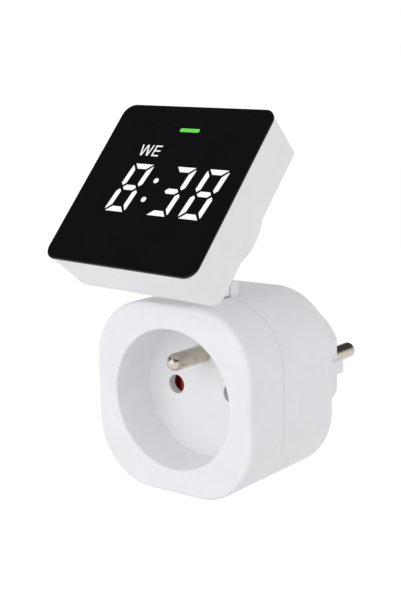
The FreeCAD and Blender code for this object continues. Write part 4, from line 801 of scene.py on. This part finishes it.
def chip_legs(sizes):
    """Gull-wing legs: for each, a rectangular section carried out, down to the board and out again."""
    across = unit(HEAD_UP)
    normal = unit(SWIVEL_AXIS)
    axes = np.stack((np.cross(across, normal), across, normal))
    local = node_points("clock_chip") @ axes.T
    low, high = local.min(axis=0), local.max(axis=0)
    middle = (low[0] + high[0]) / 2
    chip_side = (high[0] - low[0]) / 2
    level = (low[2] + high[2]) / 2
    wide, thick = sizes.leg_wide / 2, sizes.leg_thick / 2
    board = high[2] - thick
    section = np.array(((-wide, -thick), (wide, -thick), (wide, thick), (-wide, thick)))
    surfaces = []
    for side in (-1.0, 1.0):
        reach = middle + side * (chip_side + np.array(LEG_CORNERS))
        for row in np.linspace(low[1] + LEG_INSET, high[1] - LEG_INSET, sizes.leg_count):
            corners = np.stack((reach, np.full(4, row), (level, level, board, board)), axis=-1)
            line = smooth_route(corners, LEG_STEP, LEG_SOFTENING)
            surfaces.append(sweep(line, (0.0, 1.0, 0.0), section) @ axes)
    make_piece("chip_legs", surfaces, "head", "cell_steel", [])


def make_camera(lens):
    """Camera from its place, its aim and the direction that is up in its picture."""
    aim = CAMERA_AIM.normalized()
    right = aim.cross(CAMERA_UP).normalized()
    up = right.cross(aim)
    data = bpy.data.cameras.new("camera")
    data.lens = lens
    data.sensor_width = SENSOR_WIDTH
    data.clip_start = CAMERA_NEAR
    camera = add_object("camera", data)
    turn = Matrix((right, up, -aim)).transposed()
    camera.matrix_world = Matrix.Translation(CAMERA_PLACE) @ turn.to_4x4()
    bpy.context.scene.camera = camera


def seen_directly(tree):
    """1 for rays from the camera, from gloss and through glass, 0 for rays that light a surface."""
    path = tree.nodes.new("ShaderNodeLightPath").outputs
    sharp = maths(tree, "MAXIMUM", path["Is Camera Ray"], path["Is Glossy Ray"])
    return maths(tree, "MAXIMUM", sharp, path["Is Transmission Ray"])


def make_world(daylight, overhead, right_share, ceiling):
    """World that is white to the eye, with soft light that is stronger from the right and weaker
    from above. Gloss mirrors white walls under a dark ceiling."""
    world = bpy.data.worlds.new("studio")
    world.use_nodes = True
    tree = world.node_tree
    tree.nodes.clear()
    direction = tree.nodes.new("ShaderNodeTexCoord").outputs["Generated"]
    parts = add(tree, "ShaderNodeSeparateXYZ", {"Vector": direction}).outputs
    sideways = ramp(tree, parts["X"], *FROM_LEFT_TO_RIGHT, daylight, daylight * right_share)
    level = maths(tree, "MULTIPLY", sideways, ramp(tree, parts["Z"], *FROM_SIDE_TO_TOP, 1.0, overhead))
    light = add(tree, "ShaderNodeBackground", {"Color": DAYLIGHT_TINT, "Strength": level})
    gloss_only = tree.nodes.new("ShaderNodeLightPath").outputs["Is Glossy Ray"]
    mirrored = ramp(tree, parts["Z"], *FROM_WALL_TO_CEILING, 1.0, ceiling)
    seen = blend(tree, gloss_only, 1.0, mirrored)
    white = add(tree, "ShaderNodeBackground", {"Color": WHITE, "Strength": seen})
    both = add(tree, "ShaderNodeMixShader",
               {0: seen_directly(tree), 1: light.outputs[0], 2: white.outputs[0]})
    add(tree, "ShaderNodeOutputWorld", {"Surface": both.outputs[0]})
    bpy.context.scene.world = world


def make_floor(drop, width, amount):
    """Pale floor that keeps a soft shadow and reads as white to the eye."""
    half = width / 2
    z = CAD_BOX[0].z - drop
    corners = [(-half, -half, z), (half, -half, z), (half, half, z), (-half, half, z)]
    mesh = bpy.data.meshes.new("floor")
    mesh.from_pydata(corners, [], [(0, 1, 2, 3)])
    material = bpy.data.materials.new("floor")
    material.use_nodes = True
    tree = material.node_tree
    tree.nodes.clear()
    paint = add(tree, "ShaderNodeBsdfDiffuse", {"Color": FLOOR_TONE})
    lift = maths(tree, "MULTIPLY", seen_directly(tree), amount)
    glow = add(tree, "ShaderNodeEmission", {"Color": WHITE, "Strength": lift})
    both = add(tree, "ShaderNodeAddShader", {0: paint.outputs[0], 1: glow.outputs[0]})
    add(tree, "ShaderNodeOutputMaterial", {"Surface": both.outputs[0]})
    mesh.materials.append(material)
    floor = add_object("floor", mesh)


def make_lamp(name, lamp_place, target, power, width):
    """Square soft lamp that points at a target."""
    data = bpy.data.lights.new(name, "AREA")
    data.energy = power
    data.size = width
    turn = (target - lamp_place).to_track_quat("-Z", "Y").to_matrix()
    add_object(name, data).matrix_world = Matrix.Translation(lamp_place) @ turn.to_4x4()


class TIMER_OT_stage(bpy.types.Operator):
    """Set the camera, the pale floor and the soft studio light"""
    bl_idname = "timer.stage"
    bl_label = "Stage"

    def execute(self, context):
        stage = context.scene.timer_stage
        context.scene.view_settings.view_transform = "Standard"
        make_camera(stage.lens)
        make_world(stage.daylight, stage.overhead, stage.right_share, stage.ceiling)
        make_floor(stage.floor_drop, stage.floor_size, stage.floor_lift)
        middle = (CAD_BOX[0] + CAD_BOX[1]) / 2
        make_lamp("key", KEY_PLACE, middle, stage.key_power, stage.key_size)
        return {"FINISHED"}


class TIMER_OT_effects(bpy.types.Operator):
    """Build the surface effects that the materials share"""
    bl_idname = "timer.effects"
    bl_label = "Shared effects"

    def execute(self, context):
        makers = {"Mould Grain": grain_group, "Drifting Tone": tone_group, "Corner Dust And Painted Shade": dust_and_shade_group,
                  "Drawn Streaks": streak_group, "Tarnish": tarnish_group, "Board Routes": route_group}
        for name, maker in makers.items():
            GROUPS[name] = maker()
        return {"FINISHED"}


class TIMER_OT_mouldings(bpy.types.Operator):
    """Finish the shells, the head, the arm and the other moulded pieces"""
    bl_idname = "timer.mouldings"
    bl_label = "Mouldings"

    def execute(self, context):
        colours = context.scene.timer_colours
        give_finish("shell_white", moulded, colours.shell)
        give_finish("head_white", moulded, colours.head)
        give_finish("arm_white", moulded, colours.head)
        give_finish("button_white", moulded, colours.button)
        # Painted shade: a near-black red fills the shutter's pockets and eye, where shade falls
        pocket_painted_shade = {"Dust And Shade": darker(colours.shutter, 0.10), "Amount": 0.95, "Reach": 2.2 * MM,
                   "Closed": 0.08, "Open": 0.45}
        give_finish("shutter_red", moulded, colours.shutter, smooth=0.34, rough=0.46, depth_share=0.7,
                    specular=0.4, corners=pocket_painted_shade)
        give_finish("guide_grey", moulded, colours.guide)
        give_finish("washer_nylon", moulded, colours.button, smooth=0.45, rough=0.6)
        return {"FINISHED"}


class TIMER_OT_display(bpy.types.Operator):
    """Finish the black plate and its lit windows"""
    bl_idname = "timer.display"
    bl_label = "Display"

    def execute(self, context):
        colours = context.scene.timer_colours
        give_finish("plate_black", glossy_plate, colours.plate)
        give_finish("lit_white", lit, colours.figures)
        give_finish("lit_green", lit, colours.status)
        return {"FINISHED"}


class TIMER_OT_metals(bpy.types.Operator):
    """Finish the pins, contacts, screws and springs"""
    bl_idname = "timer.metals"
    bl_label = "Metals"

    def execute(self, context):
        colours = context.scene.timer_colours
        along_pin = (1.0, 0.05, 1.0)
        give_finish("pin_nickel", metal, colours.nickel, dull=0.7, smooth=0.18, rough=0.34,
                    stretch=along_pin, tarnish=0.08)
        give_finish("contact_brass", metal, colours.brass, dull=0.6, smooth=0.22, rough=0.48,
                    stretch=along_pin)
        give_finish("steel", metal, colours.steel, dull=0.6, smooth=0.24, rough=0.45,
                    stretch=(1.0, 0.2, 1.0))
        give_finish("cell_steel", metal, colours.steel, dull=0.75, smooth=0.2, rough=0.4,
                    stretch=(0.1, 1.0, 1.0))
        return {"FINISHED"}


class TIMER_OT_electronics(bpy.types.Operator):
    """Finish the boards and what stands on them"""
    bl_idname = "timer.electronics"
    bl_label = "Electronics"

    def execute(self, context):
        colours = context.scene.timer_colours
        give_finish("board_green", circuit_board, colours.board)
        give_finish("relay_black", moulded, colours.part, smooth=0.35, rough=0.5, deep=0.8)
        give_finish("part_black", moulded, colours.part, smooth=0.4, rough=0.55, deep=0.8)
        give_finish("film_yellow", moulded, colours.film, smooth=0.3, rough=0.42, depth_share=0.8,
                    deep=0.9)
        give_finish("can_sleeve", moulded, colours.sleeve, smooth=0.2, rough=0.3, depth_share=0.3,
                    deep=0.8)
        give_finish("fuse_body", moulded, colours.ivory, smooth=0.2, rough=0.32, depth_share=0.4,
                    deep=0.93)
        give_finish("header_white", moulded, colours.ivory, smooth=0.38, rough=0.5, depth_share=0.8,
                    deep=0.93)
        give_finish("ribbon_grey", moulded, colours.cable, smooth=0.4, rough=0.55, depth_share=0.8,
                    deep=0.9)
        return {"FINISHED"}


class TIMER_OT_springs(bpy.types.Operator):
    """Form the shutter's spring and the swivel's wavy washer"""
    bl_idname = "timer.springs"
    bl_label = "Springs"

    def execute(self, context):
        coil_spring(context.scene.timer_sizes)
        wavy_washer(context.scene.timer_sizes)
        return {"FINISHED"}


class TIMER_OT_cable(bpy.types.Operator):
    """Form the flat cable inside the arm"""
    bl_idname = "timer.cable"
    bl_label = "Flat cable"

    def execute(self, context):
        flat_cable(context.scene.timer_sizes)
        return {"FINISHED"}


class TIMER_OT_can(bpy.types.Operator):
    """Form the can capacitor's body and its end"""
    bl_idname = "timer.can"
    bl_label = "Can capacitor"

    def execute(self, context):
        can_body()
        can_top()
        return {"FINISHED"}


class TIMER_OT_legs(bpy.types.Operator):
    """Form the legs of the clock chip"""
    bl_idname = "timer.legs"
    bl_label = "Chip legs"

    def execute(self, context):
        chip_legs(context.scene.timer_sizes)
        return {"FINISHED"}


class TIMER_OT_screws(bpy.types.Operator):
    """Form the screws of the body and of the display's board"""
    bl_idname = "timer.screws"
    bl_label = "Screws"

    def execute(self, context):
        sizes = context.scene.timer_sizes
        for number in range(1, 5):
            threaded_screw(f"shell_screw_{number}", f"body_screw_{number}", TO_THE_FACE, "base",
                           sizes.shell_screw_head, sizes.shell_screw_radius, sizes.shell_screw_pitch,
                           sizes.shell_screw_plain)
        for number in (1, 2):
            threaded_screw(f"small_screw_{number}", f"board_screw_{number}", TO_THE_HEAD_BACK, "head",
                           sizes.small_screw_head, sizes.small_screw_radius, sizes.small_screw_pitch,
                           sizes.small_screw_plain)
        return {"FINISHED"}


class TIMER_PT_panel(bpy.types.Panel):
    """Sizes, colours and steps of the plug-in timer"""
    bl_label = "Plug-in timer"
    bl_idname = "TIMER_PT_panel"
    bl_space_type = "VIEW_3D"
    bl_region_type = "UI"
    bl_category = "Timer"

    def draw(self, context):
        layout = self.layout
        for group in SETTINGS:
            settings = getattr(context.scene, group)
            box = layout.box()
            for name in settings.__annotations__:
                box.prop(settings, name)
        for step in STEPS:
            layout.operator(step.bl_idname)


SETTINGS = {"timer_sizes": TimerSizes, "timer_colours": TimerColours, "timer_finish": TimerFinish,
            "timer_stage": TimerStage}
STEPS = (TIMER_OT_stage, TIMER_OT_effects, TIMER_OT_mouldings, TIMER_OT_display, TIMER_OT_metals,
         TIMER_OT_electronics, TIMER_OT_springs, TIMER_OT_cable, TIMER_OT_can, TIMER_OT_legs,
         TIMER_OT_screws)
CLASSES = (*SETTINGS.values(), *STEPS, TIMER_PT_panel)


def register():
    for item in CLASSES:
        bpy.utils.register_class(item)
    for name, group in SETTINGS.items():
        setattr(bpy.types.Scene, name, PointerProperty(type=group))


def unregister():
    for name in SETTINGS:
        delattr(bpy.types.Scene, name)
    for item in reversed(CLASSES):
        bpy.utils.unregister_class(item)


def main():
    register()
    for step in STEPS:
        group, name = step.bl_idname.split(".")
        getattr(getattr(bpy.ops, group), name)()


if __name__ == "__main__":
    main()
